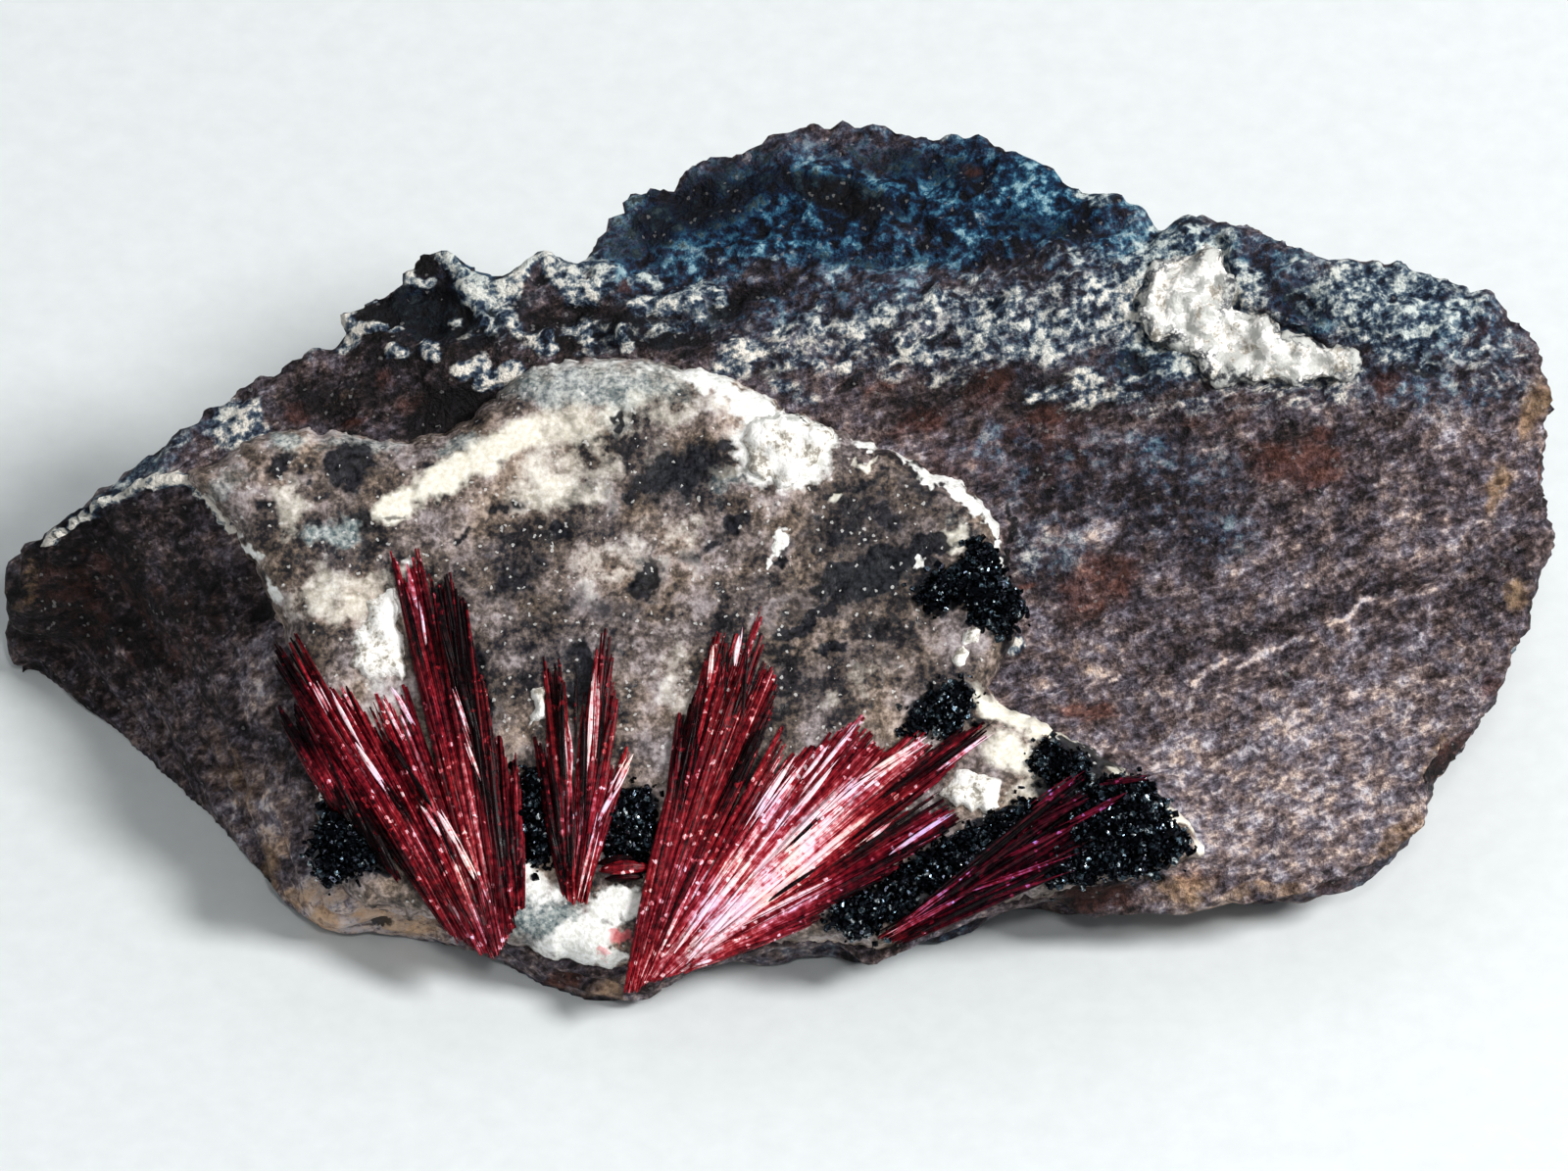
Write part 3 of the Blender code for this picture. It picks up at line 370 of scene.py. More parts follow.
# Blades that stand out: (width in mm, tone, first place, last place). The pale ones, of tone near 1, are
# painted highlight streaks; the near-black ones are darker blades and painted shade, as on the left fan's
# right side.
BLADES = {
    "kermesite_fan_left": [
        (0.55, 0.98, (326, 712), (352, 760)), (0.62, 0.98, (350, 762), (381, 806)),
        (0.36, 0.86, (306, 700), (322, 730)), (0.66, 1.0, (436, 834), (458, 872)),
        (0.62, 1.0, (455, 866), (477, 908)), (0.5, 0.86, (416, 824), (446, 870)),
        (0.6, 0.92, (388, 704), (410, 742)), (0.35, 0.9, (452, 706), (468, 756)),
        (0.3, 0.86, (466, 758), (484, 806)), (0.45, 0.92, (378, 716), (396, 752)),
        (0.4, 0.8, (336, 704), (348, 728)), (0.4, 0.72, (462, 850), (490, 930)),
        (0.9, 0.0, (386, 758), (406, 792)), (0.8, 0.0, (404, 788), (432, 832)),
        (0.8, 0.02, (434, 604), (456, 690)), (0.8, 0.02, (456, 680), (476, 752)),
        (0.6, 0.03, (478, 770), (496, 840)), (0.6, 0.02, (400, 596), (420, 680)),
        (0.5, 0.8, (404, 574), (414, 620)), (0.4, 0.03, (428, 830), (456, 890)),
        (0.45, 0.03, (380, 800), (412, 850)), (0.3, 0.9, (418, 620), (424, 660)),
    ],
    "kermesite_fan_centre": [
        (0.42, 0.92, (598, 698), (592, 800)), (0.3, 0.84, (606, 700), (602, 780)),
        (0.5, 0.96, (642, 774), (622, 812)), (0.4, 0.9, (620, 814), (604, 846)),
        (0.35, 0.9, (602, 852), (584, 926)), (0.7, 0.0, (590, 730), (588, 830)),
        (0.6, 0.0, (568, 700), (570, 800)), (0.3, 0.88, (573, 740), (577, 800)),
        (0.5, 0.02, (612, 700), (604, 790)), (0.5, 0.03, (556, 780), (566, 860)),
        (0.5, 0.02, (582, 690), (582, 760)), (0.4, 0.03, (576, 820), (578, 900)),
    ],
    "kermesite_fan_right": [
        (0.5, 0.98, (753, 650), (748, 682)), (0.9, 0.0, (774, 748), (758, 784)),
        (0.8, 0.0, (760, 780), (746, 810)), (0.7, 1.0, (700, 988), (758, 924)),
        (0.8, 1.0, (736, 950), (790, 894)), (0.8, 1.0, (780, 906), (850, 842)),
        (0.6, 0.98, (792, 880), (860, 812)), (0.5, 0.97, (770, 840), (812, 776)),
        (0.5, 0.96, (784, 832), (824, 780)), (0.5, 0.96, (820, 812), (876, 744)),
        (0.5, 0.96, (800, 850), (850, 790)), (0.5, 0.97, (880, 800), (950, 756)),
        (0.4, 0.9, (872, 820), (930, 774)), (0.4, 0.92, (830, 846), (900, 790)),
        (0.45, 0.95, (800, 916), (866, 862)), (0.5, 0.97, (910, 880), (970, 840)),
        (0.4, 0.92, (886, 866), (912, 846)), (0.4, 0.9, (960, 792), (1012, 754)),
        (0.5, 0.03, (950, 792), (1008, 750)), (0.5, 0.02, (868, 866), (930, 820)),
        (0.5, 0.02, (900, 822), (950, 786)), (0.5, 0.03, (852, 892), (920, 846)),
        (0.4, 0.03, (800, 876), (850, 826)), (0.5, 0.03, (776, 934), (840, 890)),
        (0.5, 0.02, (880, 898), (980, 848)), (0.4, 0.9, (760, 950), (850, 905)),
        (0.4, 0.85, (726, 660), (722, 700)), (0.4, 0.03, (742, 660), (738, 720)),
        (0.4, 0.03, (762, 660), (754, 740)), (0.5, 0.04, (712, 730), (700, 820)),
        (0.6, 0.96, (720, 940), (770, 880)), (0.5, 0.94, (820, 800), (846, 766)),
    ],
    "kermesite_blades_right": [
        (0.5, 0.5, (1060, 832), (1106, 800)), (0.5, 0.48, (1100, 846), (1160, 814)),
        (0.5, 0.5, (1036, 882), (1100, 850)), (0.4, 0.6, (990, 920), (1086, 886)),
        (0.4, 0.66, (915, 962), (990, 922)), (0.4, 0.7, (925, 950), (985, 906)),
        (0.45, 0.44, (1000, 930), (1088, 902)), (0.6, 0.3, (1130, 806), (1180, 800)),
        (0.6, 0.3, (1060, 850), (1120, 820)),
    ],
}
NEEDLE_RINGS = np.array([0.0, 0.12, 0.3, 0.5, 0.7, 0.88, 1.0])
NEEDLE_BLUNT = np.array([0.45, 0.7, 0.95, 1.0, 0.97, 0.9, 0.7])
NEEDLE_POINTED = np.array([0.1, 0.5, 0.85, 1.0, 0.85, 0.5, 0.08])
NEEDLE_SIDES = 6
NEEDLE_THICKNESS = 0.68  # of a needle's width
# How far needles are off the seam at their roots, their middles and their tips, in millimetres
NEEDLE_ROOT_RISE, NEEDLE_CROWN, NEEDLE_TIP_RISE = 2.9, 3.9, 3.3

# Inlays of the vein, each with its outlines: black crystals, then white quartz. Both have their floor and
# their top at these heights off the seam, in millimetres.
INLAY_FLOOR = 1.0
STIBNITE_EDGE, STIBNITE_SWELL = 2.3, 1.3
MILKY_EDGE, MILKY_SWELL = 2.2, 1.5
STIBNITE = {
    "stibnite_rim": [[
        (936, 616), (944, 596), (958, 588), (972, 582), (988, 566), (994, 553), (1010, 550), (1020, 562),
        (1024, 586), (1038, 602), (1048, 626), (1038, 642), (1020, 648), (1002, 634), (992, 614),
        (974, 612),
        (954, 624)]],
    "stibnite_upper_right": [[
        (922, 748), (944, 722), (960, 706), (978, 696), (990, 690), (1000, 704), (996, 728), (990, 744),
        (962, 762), (944, 752)]],
    "stibnite_lower_right": [[
        (838, 950), (852, 926), (872, 918), (890, 922), (906, 906), (934, 884), (960, 862), (990, 852),
        (1012, 842), (1030, 828), (1046, 817), (1062, 826), (1066, 842), (1058, 862), (1034, 884),
        (1000, 906), (962, 920), (930, 936), (908, 956), (884, 966), (860, 966)]],
    "stibnite_far_right": [[
        (1062, 912), (1074, 888), (1096, 862), (1098, 826), (1120, 808), (1156, 802), (1184, 804),
        (1194, 826), (1206, 844), (1226, 866), (1216, 884), (1180, 894), (1140, 902), (1100, 908)]],
    "stibnite_upper_patch": [[
        (1058, 786), (1064, 770), (1080, 760), (1104, 774), (1128, 786), (1110, 800), (1084, 806),
        (1066, 800)]],
    "stibnite_left": [[
        (303, 900), (309, 866), (314, 838), (328, 822), (344, 832), (356, 852), (378, 880), (366, 900),
        (340, 908), (318, 908)]],
    "stibnite_centre_left": [[(518, 806), (530, 780), (546, 800), (556, 850), (560, 888), (528, 888)]],
    "stibnite_centre_right": [[
        (606, 878), (608, 852), (626, 818), (644, 806), (662, 812), (668, 846), (664, 880), (650, 892),
        (620, 892)]],
}
RIDGE_QUARTZ = [
    (1168, 318), (1190, 262), (1244, 232), (1266, 240), (1274, 300), (1330, 330), (1404, 352), (1396, 382),
    (1300, 386), (1250, 384), (1232, 350), (1190, 342),
]
MILKY_QUARTZ = {
    "milky_quartz_upper": [[
        (750, 446), (754, 470), (771, 483), (792, 497), (808, 501), (822, 487), (836, 469), (845, 448),
        (852, 434), (831, 423), (805, 416), (782, 414), (762, 428)]],
    "milky_quartz_left": [[
        (342, 664), (346, 640), (358, 620), (372, 602), (386, 592), (400, 600), (405, 640), (409, 690),
        (400, 703), (386, 694), (374, 704), (360, 698), (350, 686)]],
    "milky_quartz_right": [[
        (958, 812), (970, 790), (986, 782), (1004, 788), (1024, 796), (1030, 812), (1030, 830), (1018, 844),
        (996, 838), (975, 828)]],
    "milky_quartz_centre": [[
        (530, 748), (532, 722), (540, 704), (552, 698), (558, 716), (548, 744)]],
    "milky_quartz_rim": [
        [(974, 690), (972, 668), (984, 656), (998, 662), (1001, 682), (990, 696)],
        [(986, 642), (998, 630), (1012, 638), (1015, 656), (1000, 668), (990, 660)]],
}


def srgb(red, green, blue):
    """A colour given as it is seen on a screen, from 0 to 255, as the linear one that shaders take."""
    seen = [channel / 255 for channel in (red, green, blue)]
    return tuple(c / 12.92 if c <= 0.04045 else ((c + 0.055) / 1.055) ** 2.4 for c in seen)


# Places on the drawing and points in space


def seam_height(across, down):
    """Height over the table of the vein's seam."""
    climb = SEAM_CLIMB * (SEAM_CORNER[1] - down)
    return SEAM_CORNER_HEIGHT + climb + SEAM_CROSSFALL * (across - SEAM_CORNER[0])


def points_at(across, down, rise):
    """Points in space, in millimetres, at a rise over the seam."""
    across, down, rise = np.broadcast_arrays(*(np.asarray(v, float) for v in (across, down, rise)))
    height = seam_height(across, down)
    depth = ((MIDDLE[1] - down) * UNIT - height * math.cos(TILT)) / math.sin(TILT) - MIDDLE_DEPTH
    flat = np.stack([(across - MIDDLE[0]) * UNIT, depth, height], axis=-1)
    return flat + rise[..., None] * TOWARDS_VIEWER


def places_of(points):
    """Where points in space, in millimetres, are on the drawing."""
    up = (points[:, 1] + MIDDLE_DEPTH) * math.sin(TILT) + points[:, 2] * math.cos(TILT)
    return points[:, 0] / UNIT + MIDDLE[0], MIDDLE[1] - up / UNIT


def unit_vector(vector):
    return vector / np.linalg.norm(vector)


def seam_directions():
    """Directions along the schist's streaks, across them on the seam, and square to the seam."""
    turn = math.radians(LINEATION_TURN)
    here, streak, right, up = points_at([0, math.cos(turn), 1, 0], [0, -math.sin(turn), 0, -1], 0)
    normal = unit_vector(np.cross(right - here, up - here))
    along = unit_vector(streak - here)
    return along, np.cross(normal, along), normal


ALONG, ACROSS, LEAF_NORMAL = seam_directions()


# Noise, the same on each run


def cell_numbers(cells, seed):
    """A steady random whole number for each cell of a lattice."""
    cells = cells.astype(np.uint32)
    mixed = cells[:, 0] * np.uint32(73856093) ^ cells[:, 1] * np.uint32(19349663)
    mixed = mixed ^ cells[:, 2] * np.uint32(83492791) ^ np.uint32(seed * 2654435761 % 2**32)
    mixed = (mixed ^ (mixed >> np.uint32(15))) * np.uint32(2246822519)
    mixed = (mixed ^ (mixed >> np.uint32(13))) * np.uint32(3266489917)
    mixed = mixed ^ (mixed >> np.uint32(16))
    return np.stack([(mixed >> np.uint32(shift)) & np.uint32(1023) for shift in (0, 10, 20)], axis=1)


def smooth_noise(points, seed=0):
    """Smooth noise from about -1 to 1."""
    cells = np.floor(points).astype(np.int64)
    inside = points - cells
    fade = inside**3 * (inside * (inside * 6 - 15) + 10)
    total = np.zeros(len(points))
    for corner in np.ndindex(2, 2, 2):
        slopes = cell_numbers(cells + corner, seed) / 511.5 - 1
        weight = np.prod(np.where(corner, fade, 1 - fade), axis=1)
        total += weight * np.sum(slopes * (inside - corner), axis=1)
    return total * 1.6


def layered_noise(points, octaves, seed=0, gain=0.5):
    """Noise with finer and finer layers."""
    total = np.zeros(len(points))
    for octave in range(octaves):
        total += gain**octave * smooth_noise(points * 2**octave, seed + octave)
    return total


def lumps(points, seed=0):
    """Distance to the middle of the nearest lump, and how far that middle is nearer than the next."""
    cells = np.floor(points).astype(np.int64)
    first = np.full(len(points), 9.0)
    second = first.copy()
    for offset in np.ndindex(3, 3, 3):
        cell = cells + offset - 1
        middle = cell + cell_numbers(cell, seed) / 1023
        distance = np.linalg.norm(points - middle, axis=1)
        second = np.minimum(second, np.maximum(first, distance))
        first = np.minimum(first, distance)
    return first, second - first


# Marks painted on the drawing


def blots(across, down, marks):
    """How strongly the blots cover each place, with soft edges."""
    cover = np.zeros(len(across))
    for x, y, long, wide, turn, strength in marks:
        c, s = math.cos(math.radians(turn)), math.sin(math.radians(turn))
        u = ((across - x) * c - (down - y) * s) / long
        v = ((across - x) * s + (down - y) * c) / wide
        cover = np.maximum(cover, strength * np.clip(1.6 - 1.1 * np.hypot(u, v), 0, 1))
    return cover


def line_distance(across, down, places):
    """Distance on the drawing to a line through places."""
    here = np.stack([across, down], axis=1)
    nearest = np.full(len(here), np.inf)
    for a, b in zip(places, places[1:]):
        a, side = np.array(a, float), np.array(b, float) - np.array(a, float)
        share = np.clip((here - a) @ side / (side @ side), 0, 1)
        nearest = np.minimum(nearest, np.linalg.norm(here - a - share[:, None] * side, axis=1))
    return nearest


def strokes(across, down, lines):
    """How strongly the strokes cover each place, with soft edges."""
    cover = np.zeros(len(across))
    for width, strength, places in lines:
        distance = line_distance(across, down, places)
        cover = np.maximum(cover, strength * np.clip(1.5 - distance / width, 0, 1))
    return cover


def is_inside(across, down, outline):
    """Whether places are inside an outline."""
    inside = np.zeros(len(across), bool)
    for (ax, ay), (bx, by) in zip(outline, outline[1:] + outline[:1]):
        if ay != by:
            crossing = (bx - ax) * (down - ay) / (by - ay) + ax
            inside ^= ((ay > down) != (by > down)) & (across < crossing)
    return inside


# Meshes


def vertex_array(mesh, what="co"):
    """The vertices' places or normals as an array."""
    rows = np.empty(len(mesh.vertices) * 3, np.float32)
    if what == "co":
        mesh.vertices.foreach_get("co", rows)
    else:
        mesh.vertex_normals.foreach_get("vector", rows)
    return rows.reshape(-1, 3).astype(float)


def set_mask(mesh, name, values):
    """Stores a number for each vertex, for a material to read."""
    attribute = mesh.attributes.new(name, "FLOAT", "POINT")
    attribute.data.foreach_set("value", np.asarray(values, np.float32))


def new_piece(name, mesh, material, nodes, smooth=True):
    """An object of the specimen, which rides on the root body in place of its CAD nodes."""
    obj = bpy.data.objects.new(name, mesh)
    bpy.context.scene.collection.objects.link(obj)
    mesh.polygons.foreach_set("use_smooth", [smooth] * len(mesh.polygons))
    mesh.materials.clear()
    mesh.materials.append(material)
    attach(obj, "root")
    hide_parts(*nodes)
    return obj


def remeshed(node, voxel):
    """A fine even mesh of a CAD node, in metres."""
    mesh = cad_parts[node].data.copy()
    helper = bpy.data.objects.new("remesh_helper", mesh)
    bpy.context.scene.collection.objects.link(helper)
    weld = helper.modifiers.new("weld", "WELD")
    weld.merge_threshold = 1e-6
    remesh = helper.modifiers.new("remesh", "REMESH")
    remesh.mode = "VOXEL"
    remesh.voxel_size = voxel * MM
    graph = bpy.context.evaluated_depsgraph_get()
    fine = bpy.data.meshes.new_from_object(helper.evaluated_get(graph))
    bpy.data.objects.remove(helper)
    return fine


def smoothed(points, edges, rounds):
    """The points moved towards the middle of their neighbours, a number of times."""
    count = len(points)
    ends = np.concatenate([edges, edges[:, ::-1]])
    neighbours = np.bincount(ends[:, 0], minlength=count)
    for _ in range(rounds):
        sums = [np.bincount(ends[:, 0], points[ends[:, 1], axis], count) for axis in range(3)]
        points = 0.5 * points + 0.5 * np.stack(sums, axis=1) / neighbours[:, None]
    return points


def mesh_edges(mesh):
    edges = np.empty(len(mesh.edges) * 2, np.int32)
    mesh.edges.foreach_get("vertices", edges)
    return edges.reshape(-1, 2)


def set_points(mesh, points):
    """Moves the mesh's vertices to these points in millimetres."""
    mesh.vertices.foreach_set("co", (points * MM).astype(np.float32).ravel())
    mesh.update()


# The host rock


# Ledges of the schist's broken walls: (length in mm, thickness in mm, sharpness, height in mm)
LEDGES = ((16, 2.6, 2.5, 0.75), (9, 1.1, 2.5, 0.42), (4, 0.8, 2.0, 0.2))
# Crags of the block's upper edge: (size in mm, height in mm)
CRAGS = ((3.6, 1.5), (1.5, 0.75))
HIDDEN_LEDGES = 0.6  # how much stronger the ledges are out of the viewer's sight


def rock_relief(points, normals, dark, bands, milky):
    """How far the block's broken surface stands out at each point, in millimetres."""
    leaf = points @ LEAF_NORMAL
    flat = np.stack([points @ ALONG, points @ ACROSS, leaf], axis=1)
    facing = np.abs(normals @ LEAF_NORMAL)
    parting = np.clip((facing - 0.55) / 0.35, 0, 1)
    grains = layered_noise(points / 1.7, 2, 4) * 0.2

    wall = grains
    for seed, (length, thickness, sharpness, height) in enumerate(LEDGES, 1):
        wall = wall + np.tanh(sharpness * smooth_noise(flat / (length, length, thickness), seed)) * height

    steps = layered_noise(flat / (9, 4.5, 9), 3, 5) * 2.4
    terrace = (np.floor(steps) + np.clip((steps % 1) * 3.5 - 1.2, 0, 1)) * 0.42 - steps * 0.25
    streaks = smooth_noise(flat / (5, 1.2, 3), 6) * 0.2 + smooth_noise(flat / (2.6, 0.9, 2), 7) * 0.16
    top = terrace + streaks + grains * 0.7

    bent = points + 0.9 * np.stack([smooth_noise(points / 2.5, 90 + i) for i in range(3)], axis=1)
    crags = 0.35 * layered_noise(points / 5, 3, 12)
    for seed, (size, height) in enumerate(CRAGS, 8):
        crags += height * (0.55 - lumps(bent / size, seed)[0])
    across, down = places_of(points)
    ridge_line = np.interp(across, *np.array(RIDGE_LINE, float).T)
    craggy = np.clip((ridge_line + 50 - down) / 60, 0, 1)

    hidden = 1 - np.clip(normals @ TOWARDS_VIEWER * 2 + 0.4, 0, 1)
    relief = wall * (1 - parting) * (1 + HIDDEN_LEDGES * hidden) + top * parting
    relief = relief * (1 - craggy) + (0.4 * relief + crags) * craggy
    return relief + 0.42 * bands - 0.5 * dark + 0.2 * milky


def make_host_rock(settings):
    """The block of schist, broken along its leaves, with its stains, bands and scratches, and painted light
    and shade.
    """
    mesh = remeshed("host_rock", settings.rock_voxel)
    points = vertex_array(mesh) / MM
    on_base = points[:, 2] < 0.05
    points = smoothed(points, mesh_edges(mesh), 8)
    points[on_base, 2] = 0
    set_points(mesh, points)
    normals = vertex_array(mesh, "normal")

    across, down = places_of(points)
    across = across + BLOT_WAVER * layered_noise(points / 2.5, 3, 20)
    down = down + BLOT_WAVER * layered_noise(points / 2.5, 3, 30)
    seen = np.clip(normals @ TOWARDS_VIEWER * 4 + 0.4, 0, 1)
    masks = {}
    for number, (name, marks) in enumerate(SCHIST_BLOTS.items()):
        size, level, strength = UNSEEN_PATCHES[name]
        behind = np.clip(level + strength * layered_noise(points / size, 3, 40 + 5 * number), 0, 1)
        masks[name] = blots(across, down, marks) * seen + behind * (1 - seen)
    wavering = BAND_WAVER * np.stack([layered_noise(points / 1.5, 2, seed) for seed in (34, 36)])
    drawn = np.stack(places_of(points))
    bands = strokes(*(drawn + wavering), SCHIST_BANDS) * seen
    relief = rock_relief(points, normals, masks["dark"] * seen, bands, masks["milky"])
    masks["milky"] = np.maximum(masks["milky"], bands)
    scratches = 1.6 * strokes(*drawn, SCRATCHES) * seen
    # The tone is pale blots and scratches less shade blots, so it carries painted light and painted shade
    masks["tone"] = np.maximum(masks.pop("pale"), scratches) - masks.pop("shade")

    low = np.clip(points[:, 2] / 1.5, 0, 1)
    seat = under_vein(points, normals)
    points = points + normals * (relief * low * (1 - seat) * settings.roughness)[:, None]
    points[:, 2] = np.where(on_base, 0, np.maximum(points[:, 2], 0))
    set_points(mesh, points)
    for name, values in masks.items():
        set_mask(mesh, name, values)
    new_piece("rock", mesh, schist_material(), ["host_rock"])


def under_vein(points, normals):
    """1 where the block's surface is the vein's seat, 0 away from it, and in between close to its edge."""
    across, down = places_of(points)
    height = seam_height(across, down)
    inside = is_inside(across, down, VEIN) & (np.abs(points[:, 2] - height) < 1.6)
    distance = line_distance(across, down, VEIN + VEIN[:1]) * UNIT
    return np.where(inside & (normals @ TOWARDS_VIEWER > 0.3), np.clip(distance / 1.2, 0, 1), 0)


# Slabs laid out on the drawing


def with_steps(outline, step):
    """The outline with more places on its long sides."""
    places = []
    for a, b in zip(outline, outline[1:] + outline[:1]):
        a, b = np.array(a, float), np.array(b, float)
        pieces = max(1, round(np.linalg.norm(b - a) / step))
        places += [a + (b - a) * i / pieces for i in range(pieces)]
    return np.array(places)


def rounded(outline, rounds=2):
    """The outline with its corners cut, as many times as asked."""
    places = np.array(outline, float)
    for _ in range(rounds):
        after = np.roll(places, -1, axis=0)
        places = np.stack([places * 0.75 + after * 0.25, places * 0.25 + after * 0.75], axis=1)
        places = places.reshape(-1, 2)
    return [tuple(p) for p in places]


# Rows of a slab's skirt, as shares of its height, and how far the skirt leans in and out between them
SKIRT_SHARES = (0.8, 0.6, 0.4, 0.2, 0.0)
SKIRT_BULGE = 22


class Slab:
    """A closed mesh over an outline of the drawing: a fine grid on top, a skirt, and a flat floor."""

    def __init__(self, outline, step, ragged, seed):
        rim = with_steps(rounded(outline), step)
        flat = np.stack([rim[:, 0], rim[:, 1], np.full(len(rim), seed * 99.0)], axis=1) * UNIT
        shift = [layered_noise(flat / 1.3, 3, 60), layered_noise(flat / 1.3, 3, 64)]
        rim = rim + ragged * np.stack(shift, axis=1)
        columns = np.arange(rim[:, 0].min(), rim[:, 0].max(), step)
        rows = np.arange(rim[:, 1].min(), rim[:, 1].max(), step * 0.87)
        across, down = np.meshgrid(columns, rows)
        across = (across + (np.arange(len(rows)) % 2 * step / 2)[:, None]).ravel()
        down = down.ravel()
        closed = [tuple(p) for p in rim]
        keep = is_inside(across, down, closed)
        across, down = across[keep], down[keep]
        keep = line_distance(across, down, closed + closed[:1]) > step * 0.8
        across = np.concatenate([rim[:, 0], across[keep]])
        down = np.concatenate([rim[:, 1], down[keep]])
        # The triangulation keeps the rim as its first places, so the skirt can join them to the floor
        self.count = len(rim)
        self.loop = [(i, (i + 1) % self.count) for i in range(self.count)]
        places = [Vector(p) for p in zip(across, down)]
        coords, _, self.faces, *_ = delaunay_2d_cdt(places, self.loop, [], 1, 1e-3)
        self.across, self.down = np.array([tuple(p) for p in coords]).T
        self.flat = np.stack([self.across, self.down, np.full(len(coords), seed * 99.0)], axis=1) * UNIT
        self.edge = line_distance(self.across, self.down, closed + closed[:1]) * UNIT

    def shoulder(self, reach):
        """A quarter round from 0 on the rim to 1 at this distance from it."""
        return np.sqrt(1 - (1 - np.clip(self.edge / reach, 0, 1)) ** 2)

    def rim_places(self, level):
        """The rim in millimetres at a level, for noise on the skirt."""
        level = np.broadcast_to(level, self.count)
        return self.flat[: self.count] + np.stack([level * 0, level * 0, level], axis=1)

    def shape(self, rise, floor):
        """The slab's points, in millimetres, and its faces."""
        parts = [points_at(self.across, self.down, rise)]
        faces = [list(face)[::-1] for face in self.faces]
        edge, above = np.broadcast_to(rise, len(self.across))[: self.count], 0
        for share in SKIRT_SHARES:
            level = edge * share + floor * (1 - share)
            around = self.rim_places(level)
            lean = np.stack([layered_noise(around / 1.1, 3, 82), layered_noise(around / 1.1, 3, 83)])
            bulge = SKIRT_BULGE * share * (1 - share) * lean
            rim_across, rim_down = self.across[: self.count], self.down[: self.count]
            parts.append(points_at(rim_across + bulge[0], rim_down + bulge[1], level))
            below = sum(len(part) for part in parts[:-1])
            faces += [[above + a, above + b, below + b, below + a] for a, b in self.loop]
            above = below
        faces.append([above + i for i in range(self.count)])
        return np.concatenate(parts), faces

    def with_skirt(self, values):
        """A mask of the top carried down the skirt, where it spreads along the rim and breaks up."""
        rim = values[: self.count]
        spread = np.mean([np.roll(rim, step) for step in range(-12, 13, 2)], axis=0)
        rows = [values]
        for share in SKIRT_SHARES:
            patches = layered_noise(self.rim_places(3 * share) / 1.5, 3, 86)
            broken = spread * np.clip(0.6 + 1.3 * patches, 0, 1.1)
            rows.append(rim * share**2 + broken * (1 - share**2))
        return np.concatenate(rows)


def mesh_of(name, points, faces):
    """A mesh from points in millimetres, its faces turned out."""
    mesh = bpy.data.meshes.new(name)
    mesh.from_pydata(points * MM, [], faces)
    mesh.update()
    face_out(mesh)
    return mesh


# The quartz vein


def vein_rise(slab, masks):
    """How far the vein's surface is over its seam, in millimetres."""
    flat = slab.flat
    swell = 0.4 * layered_noise(flat / 14, 2, 50)
    bent = flat / 5.0 + 0.3 * smooth_noise(flat / 3, 51)[:, None]
    shells = 0.42 * (lumps(bent, 52)[0] - 0.5)
    chips = 0.26 * (lumps(flat / 1.6, 53)[0] - 0.5)
    grain = 0.13 * layered_noise(flat / 0.9, 3, 54)
    calm = np.clip(masks["cream"] + masks["white"], 0, 1) * 0.85
    relief = swell + (shells + chips + grain) * (1 - calm)
    relief += 0.12 * masks["white"] + 0.1 * masks["cream"] - 0.1 * masks["dark"] - 0.12 * masks["crack"]
    ragged_edge = 0.5 * layered_noise(flat / 1.5, 3, 56) * (1 - slab.shoulder(VEIN_SHOULDER))
    return (VEIN_TOP + relief) * slab.shoulder(VEIN_SHOULDER) + ragged_edge


def make_quartz_vein(settings):
    """The plate of quartz on the front face, with a round edge and shallow broken shells."""
    slab = Slab(VEIN, settings.vein_spacing, 5, 0)
    across = slab.across + VEIN_BLOT_WAVER * layered_noise(slab.flat / 2.2, 4, 70, 0.7)
    down = slab.down + VEIN_BLOT_WAVER * layered_noise(slab.flat / 2.2, 4, 76, 0.7)
    masks = {name: blots(across, down, marks) for name, marks in VEIN_BLOTS.items()}
    masks["crack"] = 0.8 * strokes(across, down, VEIN_CRACKS)
    points, faces = slab.shape(vein_rise(slab, masks), VEIN_FLOOR)
    mesh = mesh_of("vein", points, faces)
    for name, values in masks.items():
        set_mask(mesh, name, slab.with_skirt(values))
    new_piece("vein", mesh, vein_material(), ["quartz_vein"])


def face_out(mesh):
    """Turns all faces over where the mesh was made inside out."""
    mesh.calc_loop_triangles()
    points = vertex_array(mesh)
    corners = np.empty(len(mesh.loop_triangles) * 3, np.int32)
    mesh.loop_triangles.foreach_get("vertices", corners)
    if np.linalg.det(points[corners.reshape(-1, 3)]).sum() < 0:
        mesh.flip_normals()


# Kermesite


